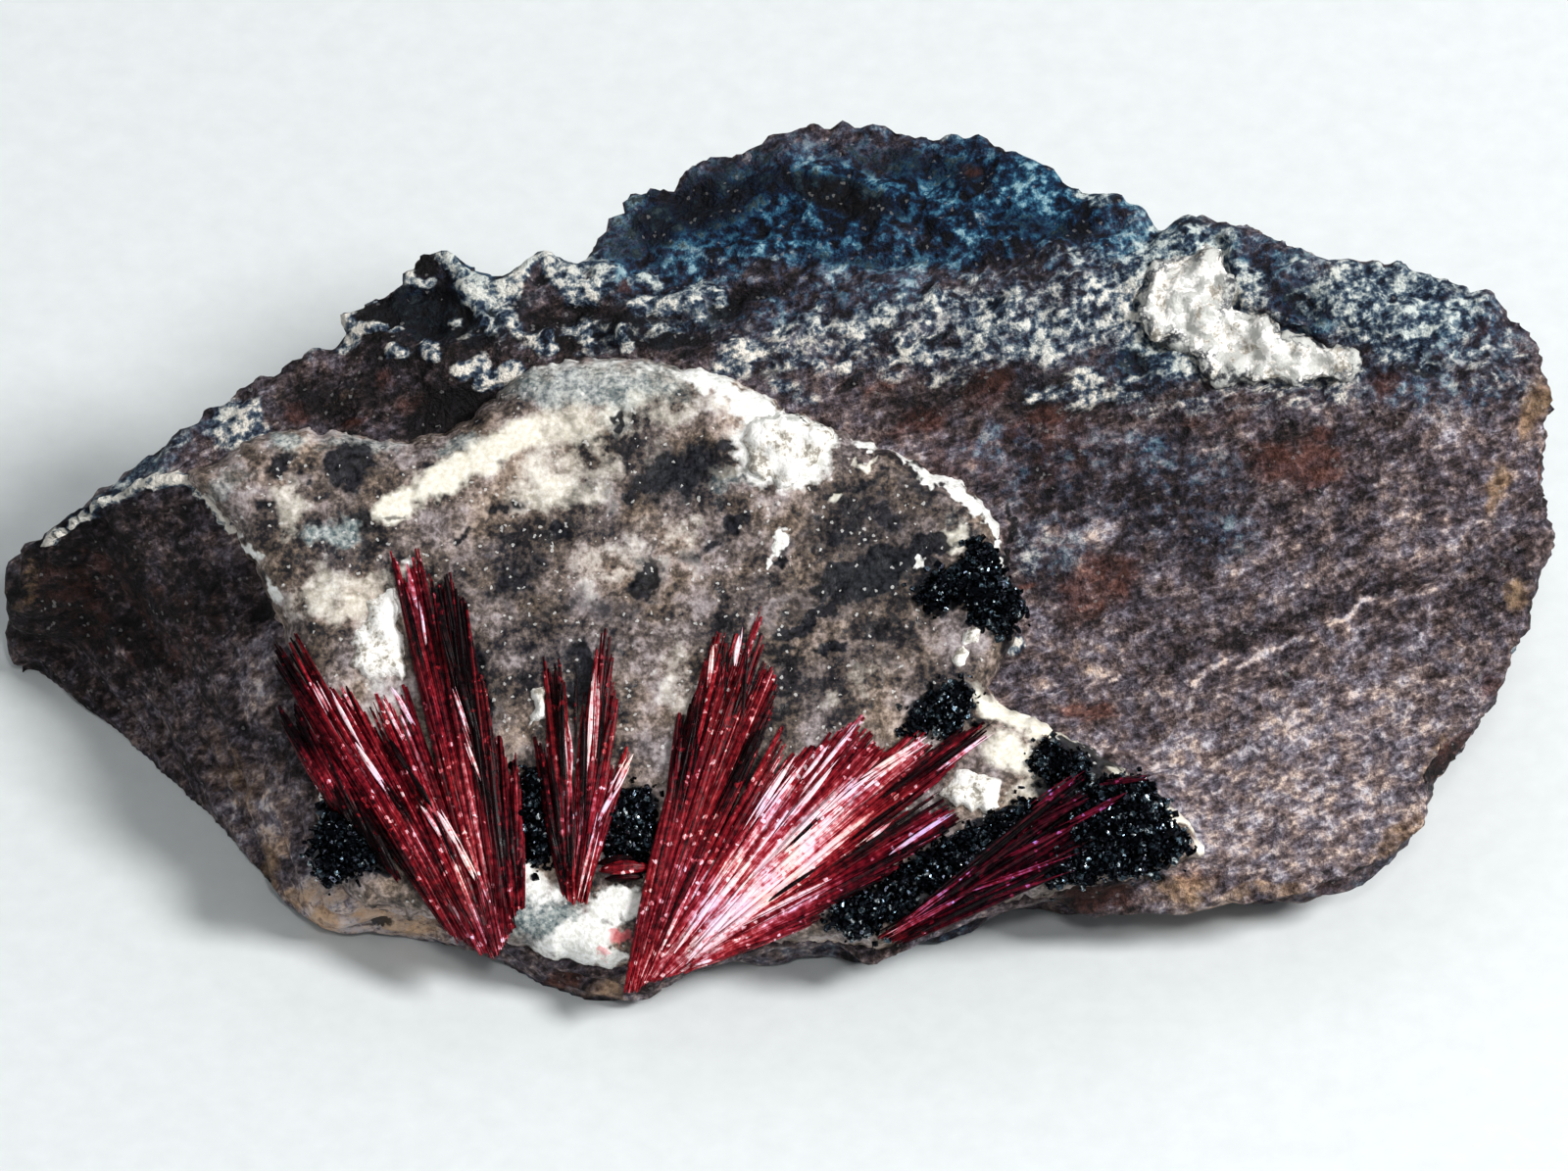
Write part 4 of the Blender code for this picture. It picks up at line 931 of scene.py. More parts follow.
def needle_bundle(starts, ends, widths, tones, rises, rolls, bends, pointed):
    """Points, faces, tones and streak places of many six-sided laths, one for each row of the arrays."""
    count, rings = len(starts), len(NEEDLE_RINGS)
    share = NEEDLE_RINGS[None, :]
    across = starts[:, 0, None] + (ends - starts)[:, 0, None] * share
    down = starts[:, 1, None] + (ends - starts)[:, 1, None] * share
    crown = np.sin(np.pi * share**0.8)
    rise = rises[:, 0, None] * (1 - share) + rises[:, 2, None] * share
    rise = rise + (rises[:, 1, None] - rise) * crown
    centre = points_at(across, down, rise)
    along = centre[:, -1] - centre[:, 0]
    length = np.linalg.norm(along, axis=1)
    along = along / length[:, None]
    side = np.cross(along, TOWARDS_VIEWER)
    side /= np.linalg.norm(side, axis=1)[:, None]
    up = np.cross(side, along)
    bow = np.sin(np.pi * share)[..., None] * (side * (bends * length)[:, None])[:, None, :]
    angles = (np.arange(NEEDLE_SIDES) + 0.5) * 2 * math.pi / NEEDLE_SIDES - math.pi / 2
    wide = np.cos(angles)[None, :] * 0.5 * widths[:, None]
    thick = np.sin(angles)[None, :] * 0.5 * NEEDLE_THICKNESS * widths[:, None]
    c, s = np.cos(rolls)[:, None], np.sin(rolls)[:, None]
    offset = (wide * c - thick * s)[..., None] * side[:, None, :]
    offset = offset + (wide * s + thick * c)[..., None] * up[:, None, :]
    taper = NEEDLE_BLUNT + pointed[:, None] * (NEEDLE_POINTED - NEEDLE_BLUNT)
    points = (centre + bow)[:, :, None, :] + taper[:, :, None, None] * offset[:, None, :, :]

    ring, corner = np.meshgrid(np.arange(rings - 1), np.arange(NEEDLE_SIDES), indexing="ij")
    after = (corner + 1) % NEEDLE_SIDES
    quad = np.stack([ring * NEEDLE_SIDES + corner, ring * NEEDLE_SIDES + after,
                     (ring + 1) * NEEDLE_SIDES + after, (ring + 1) * NEEDLE_SIDES + corner], axis=-1)
    quad = quad.reshape(-1, 4)
    cap = np.arange(NEEDLE_SIDES)
    faces = []
    for number in range(count):
        base = number * rings * NEEDLE_SIDES
        faces += (quad + base).tolist()
        faces.append((cap[::-1] + base).tolist())
        faces.append((cap + base + (rings - 1) * NEEDLE_SIDES).tolist())
    tone = np.repeat(tones, rings * NEEDLE_SIDES)
    around = np.broadcast_to(np.arange(NEEDLE_SIDES)[None, None, :] * widths[:, None, None] * 0.5,
                             (count, rings, NEEDLE_SIDES))
    lengthwise = np.broadcast_to(share[:, :, None] * length[:, None, None], (count, rings, NEEDLE_SIDES))
    seed = np.broadcast_to(np.arange(count)[:, None, None] * 3.7, (count, rings, NEEDLE_SIDES))
    streak = np.stack([around, lengthwise, seed], axis=-1).reshape(-1, 3)
    return points.reshape(-1, 3), faces, tone, streak


def fan_needles(name, random):
    """A row for each needle of a fan, as needle_bundle takes them, in layers from below upwards."""
    sheaves = FANS[name]
    spans = np.array([sum(math.dist(a, b) for a, b in zip(tips, tips[1:])) for _, _, tips in sheaves])
    rows = []
    for (root_left, root_right, tips), span in zip(sheaves, spans):
        count = max(12, round(NEEDLE_COUNTS[name] * span / spans.sum()))
        for i in range(count):
            layer = i / count
            place = random.uniform(0, len(tips) - 1)
            index = min(int(place), len(tips) - 2)
            part = place - index
            tip = np.array(tips[index]) * (1 - part) + np.array(tips[index + 1]) * part
            position = place / (len(tips) - 1)
            root = np.array(root_left) * (1 - position) + np.array(root_right) * position
            root = root + random.normal(0, 2.0, 2)
            reach = 1 - 0.16 * random.random() ** 3 - 0.05 * random.random() * layer
            start = -0.01 * random.random()
            if random.random() < 0.45 * layer:
                start = random.uniform(0.06, 0.5)
                reach = min(reach, start + random.uniform(0.2, 0.6))
            lift = (layer - 0.6) * 0.8 + random.normal(0, 0.07)
            rise = NEEDLE_ROOT_RISE, NEEDLE_CROWN + lift, NEEDLE_TIP_RISE + 0.55 * lift
            if start > 0:
                rise = NEEDLE_CROWN + lift - 0.1, NEEDLE_CROWN + lift + 0.12, NEEDLE_CROWN + lift - 0.1
            rows.append((root + (tip - root) * start, root + (tip - root) * reach,
                         random.uniform(0.18, 0.46), max(0.2, random.normal(0.42, 0.13)), rise,
                         random.normal(0, 0.4), random.normal(0, 0.007), 0.75 * random.random()))
    return rows


def make_needles(name, rows, blades, node, settings):
    """A piece of needles from their rows, with some chosen blades laid over them."""
    columns = [np.array(column, float) for column in zip(*rows + blades)]
    columns[2] = columns[2] * settings.needle_width
    points, faces, tone, streak = needle_bundle(*columns)
    across, down = places_of(points)
    # Painted highlights and painted shade on the needles, from blots; the blades laid over them keep their
    # own tone
    shade = blots(across, down, NEEDLE_HIGHLIGHTS) - blots(across, down, NEEDLE_DARK_AND_SHADE)
    shade[len(rows) * len(NEEDLE_RINGS) * NEEDLE_SIDES:] = 0
    mesh = mesh_of(name, points, faces)
    set_mask(mesh, "tone", tone + shade)
    set_mask(mesh, "purple", blots(across, down, NEEDLE_PURPLE))
    streaks = mesh.attributes.new("streak", "FLOAT_VECTOR", "POINT")
    streaks.data.foreach_set("vector", streak.astype(np.float32).ravel())
    new_piece(name, mesh, kermesite_material(), [node], smooth=False)


def make_fan(node, settings, seed):
    """A fan of needles grown side by side from one root, in place of the solid that reaches their tips."""
    random = np.random.default_rng(seed)
    rise = NEEDLE_CROWN + 0.42, NEEDLE_CROWN + 0.5, NEEDLE_CROWN + 0.38
    blades = []
    for width, tone, first, last in BLADES[node]:
        first, last = np.array(first, float), np.array(last, float)
        for share in (1.0, 0.45, 0.4):
            aside = random.normal(0, 2.4, 2) if share < 1 else np.zeros(2)
            slide = random.uniform(-0.25, 0.25) if share < 1 else 0.0
            shift = aside + (last - first) * slide
            blades.append((first + shift, last + shift, width * 0.62 * share, tone, rise,
                           random.normal(0, 0.3), random.normal(0, 0.01), 1.0))
    make_needles(node.replace("kermesite", "needles"), fan_needles(node, random), blades, node, settings)


def make_small_crystal(settings):
    """The short red blade between the centre fan and the right fan."""
    rows = [
        (np.array((606.0, 896)), np.array((658.0, 893)), 1.0, 0.42, (3.4, 4.1, 3.5), 0.1, -0.03, 0.6),
        (np.array((604.0, 889)), np.array((648.0, 884)), 0.7, 0.05, (3.2, 4.0, 3.3), -0.3, -0.03, 0.6),
        (np.array((612.0, 905)), np.array((652.0, 903)), 0.6, 0.1, (3.2, 3.8, 3.3), 0.4, -0.02, 0.6),
        (np.array((618.0, 900)), np.array((646.0, 897)), 0.3, 0.6, (3.9, 4.3, 3.9), 0.0, -0.02, 1.0),
    ]
    make_needles("small_crystal", rows, [], "kermesite_crystal_small", settings)


# Stibnite


def scattered(points, faces, spacing, random):
    """Points and normals spread over the part of a surface that the viewer sees."""
    triangles = points[np.array([face for face in faces if len(face) == 3])]
    normals = np.cross(triangles[:, 1] - triangles[:, 0], triangles[:, 2] - triangles[:, 0])
    areas = np.linalg.norm(normals, axis=1) / 2
    normals /= np.maximum(areas * 2, 1e-9)[:, None]
    normals *= np.sign(normals @ TOWARDS_VIEWER)[:, None]
    count = int(areas.sum() / spacing**2)
    chosen = random.choice(len(areas), count, p=areas / areas.sum())
    u, v = random.random((2, count, 1))
    over = u + v > 1
    u, v = np.where(over, 1 - u, u), np.where(over, 1 - v, v)
    first, second, third = triangles[chosen].transpose(1, 0, 2)
    return first + (second - first) * u + (third - first) * v, normals[chosen]


GRAIN_BLOCK = np.array([
    (-1, -1, -1), (1, -1, -1), (1, 1, -1), (-1, 1, -1),
    (-1, -1, 0.5), (1, -1, 0.5), (1, 1, 0.5), (-1, 1, 0.5),
    (-0.5, -0.4, 1), (0.5, -0.4, 1), (0.5, 0.4, 1), (-0.5, 0.4, 1),
]) * 0.5


def crystal_grains(points, normals, size, random):
    """Points and faces of small slanted blocks with a cut top, one at each point."""
    sides = [(3, 2, 1, 0), (8, 9, 10, 11)]
    for low, high in ((0, 4), (4, 8)):
        sides += [(low + i, low + (i + 1) % 4, high + (i + 1) % 4, high + i) for i in range(4)]
    made, faces = [], []
    for number, (point, normal) in enumerate(zip(points, normals)):
        up = unit_vector(normal + random.normal(0, 0.6, 3))
        side = unit_vector(np.cross(up, random.normal(0, 1, 3)))
        turned = np.stack([side, np.cross(up, side), up])
        scale = np.array((1, random.uniform(0.4, 1), random.uniform(0.7, 1.8)))
        scale = scale * size * (0.45 + 1.1 * random.random() ** 2)
        made.append((GRAIN_BLOCK * scale) @ turned + point)
        faces += [[corner + number * len(GRAIN_BLOCK) for corner in face] for face in sides]
    return np.concatenate(made), faces


def make_stibnite(node, settings, seed):
    """A mass of black crystals grown together, small blocks with bright faces."""
    random = np.random.default_rng(seed)
    pieces = []
    for number, outline in enumerate(STIBNITE[node]):
        slab = Slab(outline, 4.5, 8, seed + number)
        lumpy = 0.45 * layered_noise(slab.flat / 2.2, 3, 80)
        rise = STIBNITE_EDGE + (STIBNITE_SWELL + lumpy) * slab.shoulder(0.9)
        points, faces = slab.shape(rise, INLAY_FLOOR)
        pieces.append((points, faces, np.zeros(len(points))))
        spots, directions = scattered(points, faces, settings.grain_size * 0.62, random)
        spots = spots + directions * random.uniform(-0.1, 0.16, len(spots))[:, None]
        spots = spots + random.normal(0, 0.1, spots.shape)
        # Stray crystals lie loose round the rim
        strays = random.integers(0, slab.count, slab.count * 2)
        aside = random.normal(0, 5.5, (2, len(strays)))
        stray_spots = points_at(slab.across[strays] + aside[0], slab.down[strays] + aside[1],
                                random.uniform(2.7, 3.2, len(strays)))
        spots = np.concatenate([spots, stray_spots])
        directions = np.concatenate([directions, np.tile(TOWARDS_VIEWER, (len(strays), 1))])
        grains, faces = crystal_grains(spots, directions, settings.grain_size, random)
        pieces.append((grains, faces, np.repeat(random.random(len(spots)), len(GRAIN_BLOCK))))
    points, faces, tone = joined(pieces)
    mesh = mesh_of(node, points, faces)
    set_mask(mesh, "tone", tone)
    name = node.replace("stibnite", "black_crystals")
    new_piece(name, mesh, stibnite_material(), [node], smooth=False)


def joined(pieces):
    """Points, faces and masks of several pieces in one."""
    points, faces, masks, start = [], [], [], 0
    for piece_points, piece_faces, mask in pieces:
        points.append(piece_points)
        masks.append(mask)
        faces += [[corner + start for corner in face] for face in piece_faces]
        start += len(piece_points)
    return np.concatenate(points), faces, np.concatenate(masks)


# Milky quartz


def grainy(points, seed):
    """How far the grains of the white quartz stand out, in millimetres."""
    knobs = 0.5 * (0.55 - lumps(points / 1.3, seed)[0])
    return knobs + 0.24 * layered_noise(points / 2.4, 3, seed + 1)


def make_milky_quartz(node, seed):
    """White granular lumps of quartz in the vein."""
    pieces = []
    for number, outline in enumerate(MILKY_QUARTZ[node]):
        slab = Slab(outline, 3.2, 9, seed + number)
        rise = MILKY_EDGE + (MILKY_SWELL + 1.3 * grainy(slab.flat, seed)) * slab.shoulder(1.2)
        points, faces = slab.shape(rise, INLAY_FLOOR)
        fade = 0.45 * np.clip(1 - slab.edge / min(1.3, 0.4 * slab.edge.max()), 0, 1)
        pieces.append((points, faces, slab.with_skirt(fade)))
    points, faces, fade = joined(pieces)
    mesh = mesh_of(node, points, faces)
    set_mask(mesh, "fade", fade)
    new_piece(node.replace("milky_quartz", "white_quartz"), mesh, milky_material(), [node])


def make_ridge_quartz(seed):
    """The white crust on the ridge, which grows ragged over the edges of its hollow."""
    mesh = remeshed("milky_quartz_ridge", 0.3)
    points = smoothed(vertex_array(mesh) / MM, mesh_edges(mesh), 6)
    set_points(mesh, points)
    normals = vertex_array(mesh, "normal")
    spread = 1.1 * layered_noise(points / 2.4, 4, seed) - 0.1
    points = points + normals * (spread + 0.6 * grainy(points, seed))[:, None]
    set_points(mesh, points)
    across, down = places_of(points)
    across = across + 14 * layered_noise(points / 2.2, 3, seed + 4)
    down = down + 14 * layered_noise(points / 2.2, 3, seed + 8)
    outline = RIDGE_QUARTZ + RIDGE_QUARTZ[:1]
    edge = line_distance(across, down, outline) * np.where(is_inside(across, down, RIDGE_QUARTZ), 1, -1)
    set_mask(mesh, "fade", np.clip(0.8 - edge / 34, 0.45, 1))
    new_piece("white_quartz_ridge", mesh, milky_material(), ["milky_quartz_ridge"])


# Shader graphs


class Graph:
    """Adds shader nodes to a tree, links them and gives back their sockets."""

    def __init__(self, tree):
        self.tree = tree

    def put(self, socket, value):
        """Links another socket to this one, or sets a plain value on it."""
        if isinstance(value, bpy.types.NodeSocket):
            self.tree.links.new(value, socket)
        else:
            socket.default_value = value

    def node(self, kind, inputs=(), **settings):
        node = self.tree.nodes.new("ShaderNode" + kind)
        for name, value in settings.items():
            setattr(node, name, value)
        for key, value in dict(inputs).items():
            self.put(node.inputs[key], value)
        return node

    def math(self, operation, *values, clamp=False):
        node = self.node("Math", dict(enumerate(values)), operation=operation, use_clamp=clamp)
        return node.outputs[0]

    def mask(self, name):
        return self.node("Attribute", attribute_name=name).outputs["Fac"]

    def mix(self, share, first, second, blend="MIX"):
        node = self.node("Mix", {0: share}, data_type="RGBA", blend_type=blend, clamp_factor=True)
        for socket, colour in ((node.inputs[6], first), (node.inputs[7], second)):
            self.put(socket, (*colour, 1) if isinstance(colour, tuple) else colour)
        return node.outputs[2]

    def total(self, *parts):
        """The sum of values times their weights, from (value, weight) parts."""
        (value, weight), *others = parts
        result = self.math("MULTIPLY", value, weight)
        for value, weight in others:
            result = self.math("MULTIPLY_ADD", value, weight, result)
        return result

    def contrasted(self, value, contrast):
        """A value around 0.5 spread out to twice this contrast, from 0 to 1."""
        spread = self.math("MULTIPLY", contrast, 2.0)
        return self.math("MULTIPLY_ADD", self.math("SUBTRACT", value, 0.5), spread, 0.5, clamp=True)

    def group(self, tree, **inputs):
        """The output of a node group."""
        named = {name.title(): value for name, value in inputs.items()}
        return self.node("Group", named, node_tree=tree).outputs[0]

    def grain(self, **inputs):
        return self.group(grain_group(), **inputs)

    def streaks(self, **inputs):
        return self.group(streak_group(), **inputs)

    def glints(self, **inputs):
        return self.group(glints_group(), **inputs)

    def ragged(self, **inputs):
        return self.group(ragged_group(), **inputs)

    def ramp(self, value, stops):
        """A colour for a value, from (value, colour) stops."""
        node = self.node("ValToRGB", {0: value})
        elements = node.color_ramp.elements
        while len(elements) > 1:
            elements.remove(elements[-1])
        elements[0].position, elements[0].color = stops[0][0], (*stops[0][1], 1)
        for position, colour in stops[1:]:
            elements.new(position).color = (*colour, 1)
        return node.outputs[0]


def new_group(name, inputs, outputs):
    """An empty shader node group with named sockets, its graph, and its input sockets by name."""
    tree = bpy.data.node_groups.new(name, "ShaderNodeTree")
    for socket, default in inputs.items():
        item = tree.interface.new_socket(name=socket, in_out="INPUT", socket_type="NodeSocketFloat")
        item.default_value = default
    for socket, kind in outputs.items():
        tree.interface.new_socket(name=socket, in_out="OUTPUT", socket_type=kind)
    graph = Graph(tree)
    given = tree.nodes.new("NodeGroupInput").outputs
    result = tree.nodes.new("NodeGroupOutput").inputs
    return tree, graph, given, result


def once(make):
    """Makes a node group or a material the first time it is asked for, and gives the same one after that."""
    made = []

    def get():
        if not made:
            made.append(make())
        return made[0]

    return get


@once
def grain_group():
    """Noise whose grains have a size in millimetres, from 0 to 1."""
    tree, graph, given, result = new_group(
        "Grain", {"Size": 1.0, "Detail": 3.0, "Contrast": 1.0}, {"Value": "NodeSocketFloat"})
    place = graph.node("TexCoord").outputs["Object"]
    scale = graph.math("DIVIDE", PER_METRE, given["Size"])
    noise = graph.node("TexNoise", {
        "Vector": place, "Scale": scale, "Detail": given["Detail"], "Roughness": 0.6}).outputs[0]
    graph.put(result["Value"], graph.contrasted(noise, given["Contrast"]))
    return tree


@once
def streak_group():
    """Noise drawn out along the schist's streaks, sizes in millimetres."""
    tree, graph, given, result = new_group(
        "Rock Streaks", {"Length": 8.0, "Width": 0.7, "Contrast": 1.0}, {"Value": "NodeSocketFloat"})
    place = graph.node("TexCoord").outputs["Object"]
    parts = []
    for direction, size in ((ALONG, "Length"), (ACROSS, "Width"), (LEAF_NORMAL, "Width")):
        dot = graph.node("VectorMath", {0: place, 1: tuple(direction)}, operation="DOT_PRODUCT")
        along = graph.math("MULTIPLY", dot.outputs["Value"], PER_METRE)
        parts.append(graph.math("DIVIDE", along, given[size]))
    drawn = graph.node("CombineXYZ", {"X": parts[0], "Y": parts[1], "Z": parts[2]}).outputs[0]
    noise = graph.node("TexNoise", {
        "Vector": drawn, "Scale": 1.0, "Detail": 4.0, "Roughness": 0.62, "Distortion": 0.4}).outputs[0]
    graph.put(result["Value"], graph.contrasted(noise, given["Contrast"]))
    return tree


@once
def ragged_group():
    """A painted mask with a ragged edge, which breaks into specks where the mask is faint."""
    tree, graph, given, result = new_group(
        "Ragged Mask", {"Mask": 0.0, "Grain": 0.5, "Raggedness": 1.0, "Sharpness": 3.0},
        {"Mask": "NodeSocketFloat"})
    # A mask of 0 stays 0 and a mask of 1 stays 1, whatever the grain
    missing = graph.math("MULTIPLY", graph.math("SUBTRACT", 1.0, given["Grain"]), given["Raggedness"])
    widened = graph.math("MULTIPLY", given["Mask"], graph.math("ADD", 1.0, given["Raggedness"]))
    raised = graph.math("SUBTRACT", graph.math("SUBTRACT", widened, missing), 0.5)
    value = graph.math("MULTIPLY_ADD", raised, given["Sharpness"], 0.5, clamp=True)
    graph.put(result["Mask"], value)
    return tree


@once
def glints_group():
    """A few small flat flakes: 1 on a flake, 0 off it."""
    tree, graph, given, result = new_group(
        "Glints", {"Size": 0.4, "Share": 0.05}, {"Mask": "NodeSocketFloat"})
    place = graph.node("TexCoord").outputs["Object"]
    cells = graph.node("TexVoronoi", {
        "Vector": place, "Scale": graph.math("DIVIDE", PER_METRE, given["Size"])})
    pick = graph.node("SeparateColor", {0: cells.outputs["Color"]}).outputs[0]
    graph.put(result["Mask"], graph.math("LESS_THAN", pick, given["Share"]))
    return tree


def new_material(name):
    """A material with its graph and its Principled shader."""
    material = bpy.data.materials.new(name)
    material.use_nodes = True
    graph = Graph(material.node_tree)
    return material, graph, material.node_tree.nodes["Principled BSDF"]


def wire(graph, shader, bump_height, strength, distance, inputs):
    """Links colours and masks to the shader, and a height through a Bump node to its normal."""
    bump = graph.node("Bump", {"Height": bump_height, "Strength": strength, "Distance": distance * MM})
    for name, value in {**inputs, "Normal": bump.outputs[0]}.items():
        graph.put(shader.inputs[name], value)


def laid(graph, mask, grain, raggedness, sharpness, share, colour, over):
    """The colour with another laid over it where a painted mask says, and how much of it is laid there."""
    ragged = graph.ragged(mask=graph.mask(mask), grain=grain, raggedness=raggedness, sharpness=sharpness)
    return graph.mix(graph.math("MULTIPLY", ragged, share), colour, over), ragged


@once
def schist_material():
    """Dull grey schist with drawn-out streaks, rust, blue-grey weathering, white quartz specks and navy
    painted shade over the crest; its tone brings painted light and shade.
    """
    colours = bpy.context.scene.specimen_colours
    material, graph, shader = new_material("schist")
    streaks = graph.streaks(length=3.6, width=1.0, contrast=1.6)
    thin = graph.streaks(length=1.0, width=0.4, contrast=1.6)
    fine = graph.grain(size=0.45, detail=4.0, contrast=2.0)
    coarse = graph.grain(size=4.0, detail=5.0, contrast=1.5)
    specks = graph.grain(size=0.85, detail=5.0, contrast=2.0)
    clots = graph.grain(size=1.9, detail=5.0, contrast=2.0)
    # The tone mask brings painted light and painted shade into the level
    level = graph.total((thin, 0.22), (streaks, 0.2), (fine, 0.22), (specks, 0.22), (coarse, 0.24),
                        (graph.mask("tone"), 0.27))
    level = graph.math("SUBTRACT", level, 0.04)
    colour = graph.ramp(level, [
        (0.02, srgb(6, 5, 6)), (0.2, srgb(26, 22, 23)), (0.36, srgb(54, 47, 48)), (0.53, srgb(96, 87, 89)),
        (0.7, srgb(148, 138, 138)), (0.9, srgb(234, 224, 214)),
    ])
    hue = graph.grain(size=1.3, detail=4.0, contrast=2.2)
    tint = graph.mix(hue, srgb(240, 214, 202), srgb(206, 210, 238))
    colour = graph.mix(0.7, colour, tint, "MULTIPLY")
    # The blue laid where the cool mask is; over the crest it is painted shade in navy
    blue = graph.ramp(graph.total((coarse, 0.5), (specks, 0.5)), [
        (0.26, srgb(2, 5, 12)), (0.42, srgb(8, 22, 44)), (0.56, srgb(20, 52, 80)), (0.7, srgb(54, 104, 130)),
        (0.88, srgb(150, 186, 196)),
    ])
    colour = graph.mix(graph.mask("cool"), colour, blue)
    torn = graph.total((streaks, 0.5), (clots, 0.5))
    rusty = graph.mix(1.0, colour, srgb(236, 172, 150), "MULTIPLY")
    rust = graph.mix(0.5, rusty, graph.mix(specks, srgb(46, 24, 18), tuple(colours.rust)))
    colour, _ = laid(graph, "rust", torn, 1.8, 0.8, 0.8, colour, rust)
    tanned = graph.mix(1.0, colour, srgb(255, 226, 190), "MULTIPLY")
    warm = graph.mix(0.5, tanned, graph.mix(specks, srgb(96, 72, 52), srgb(220, 182, 142)))
    colour, _ = laid(graph, "warm", torn, 1.4, 0.9, 0.8, colour, warm)
    # Near black where the dark mask is, which includes painted shadow along the vein's edges and painted
    # shade over the crest
    colour, _ = laid(graph, "dark", specks, 1.4, 1.5, 0.9, colour, srgb(10, 9, 11))
    mottle = graph.total((streaks, 0.35), (specks, 0.45), (fine, 0.2), (graph.mask("milky"), 0.26))
    pale = graph.ramp(mottle, [
        (0.42, srgb(15, 22, 36)), (0.58, srgb(58, 74, 94)), (0.72, srgb(136, 144, 148)),
        (0.9, srgb(246, 238, 226)),
    ])
    pale = graph.mix(graph.math("MULTIPLY", graph.mask("cool"), 0.6), pale, srgb(176, 212, 226), "MULTIPLY")
    colour, white = laid(graph, "milky", torn, 1.6, 1.1, 0.9, colour, pale)
    glints = graph.glints(size=0.22, share=0.014)
    colour = graph.mix(graph.math("MULTIPLY", glints, 0.2), colour, srgb(190, 186, 184))
    rough = graph.math("MULTIPLY_ADD", fine, 0.3, 0.5)
    rough = graph.math("SUBTRACT", rough, graph.math("MULTIPLY", glints, 0.25), clamp=True)
    height = graph.total((fine, 0.7), (thin, 0.6), (specks, 0.7), (white, 0.3))
    wire(graph, shader, height, 0.8, 0.24, {
        "Base Color": colour, "Roughness": rough, "Specular IOR Level": 0.15})
    return material


@once
def vein_material():
    """Grey-beige quartz with a soft glassy sheen, cream and white streaks and dark smoky patches, with
    painted shade in strips beside the left fan.
    """
    colours = bpy.context.scene.specimen_colours
    material, graph, shader = new_material("vein_quartz")
    broad = graph.grain(size=6.5, detail=7.0, contrast=1.5)
    small = graph.grain(size=1.7, detail=5.0, contrast=2.0)
    fine = graph.grain(size=0.4, detail=3.0, contrast=1.8)
    level = graph.math("ADD", graph.total((small, 0.27), (broad, 0.42), (fine, 0.22)), 0.05)
    level = graph.math("SUBTRACT", level, graph.math("MULTIPLY", graph.mask("shade"), 0.26))
    colour = graph.ramp(level, [
        (0.08, srgb(14, 15, 19)), (0.26, srgb(44, 43, 47)), (0.43, srgb(102, 93, 85)),
        (0.6, tuple(colours.vein)), (0.82, srgb(214, 206, 192)),
    ])
    hue = graph.grain(size=3.4, detail=3.0, contrast=2.0)
    tint = graph.mix(hue, srgb(255, 238, 224), srgb(224, 222, 242))
    colour = graph.mix(0.8, colour, tint, "MULTIPLY")
    soft = graph.total((broad, 0.4), (small, 0.6))
    layers = (
        ("cool", soft, 1.1, 1.0, 0.66, srgb(92, 112, 116), srgb(196, 204, 200)),
        ("cream", soft, 1.0, 1.0, 0.92, srgb(226, 218, 198), srgb(250, 246, 234)),
        # dark: smoky patches, and painted shade beside the left fan
        ("dark", small, 1.2, 1.1, 0.97, srgb(1, 2, 5), srgb(30, 32, 40)),
        ("white", soft, 1.3, 1.5, 1.0, srgb(214, 212, 204), srgb(252, 251, 249)),
        ("pink", fine, 0.6, 2.0, 0.6, srgb(206, 90, 98), srgb(220, 104, 110)),
        ("crack", small, 1.8, 1.4, 0.75, srgb(22, 20, 20), srgb(40, 36, 34)),
    )
    for mask, grain, raggedness, sharpness, share, low, high in layers:
        over = graph.mix(fine, low, high)
        colour, _ = laid(graph, mask, grain, raggedness, sharpness, share, colour, over)
    glints = graph.glints(size=0.2, share=0.014)
    colour = graph.mix(graph.math("MULTIPLY", glints, 0.5), colour, srgb(230, 228, 224))
    rough = graph.math("MULTIPLY_ADD", small, 0.25, 0.28)
    rough = graph.math("SUBTRACT", rough, graph.math("MULTIPLY", glints, 0.2), clamp=True)
    height = graph.total((fine, 0.3), (small, 0.7))
    rest = graph.math("SUBTRACT", 1.0, graph.math("MULTIPLY", graph.mask("cream"), 0.75), clamp=True)
    height = graph.math("MULTIPLY", height, rest)
    wire(graph, shader, height, 0.5, 0.16, {
        "Base Color": colour, "Roughness": rough, "Specular IOR Level": 0.12})
    return material


@once
def milky_material():
    """White quartz in small grains, which thins out to dark and blue-grey specks where it fades."""
    material, graph, shader = new_material("milky_quartz")
    fine = graph.grain(size=0.35, detail=3.0, contrast=1.5)
    coarse = graph.grain(size=2.0, detail=4.0, contrast=1.7)
    level = graph.total((fine, 0.4), (coarse, 0.6))
    colour = graph.ramp(level, [
        (0.2, srgb(150, 142, 130)), (0.36, srgb(222, 216, 206)), (0.55, srgb(248, 245, 240)),
    ])
    specks = graph.grain(size=1.0, detail=4.0, contrast=2.0)
    faded = graph.ragged(mask=graph.mask("fade"), grain=specks, raggedness=1.4, sharpness=2.5)
    colour = graph.mix(faded, colour, graph.ramp(specks, [
        (0.25, srgb(24, 27, 32)), (0.5, srgb(96, 98, 100)), (0.75, srgb(188, 188, 182)),
    ]))
    rough = graph.math("MULTIPLY_ADD", fine, 0.3, 0.35)
    wire(graph, shader, level, 0.6, 0.2, {
        "Base Color": colour, "Roughness": rough, "Specular IOR Level": 0.6})
    return material


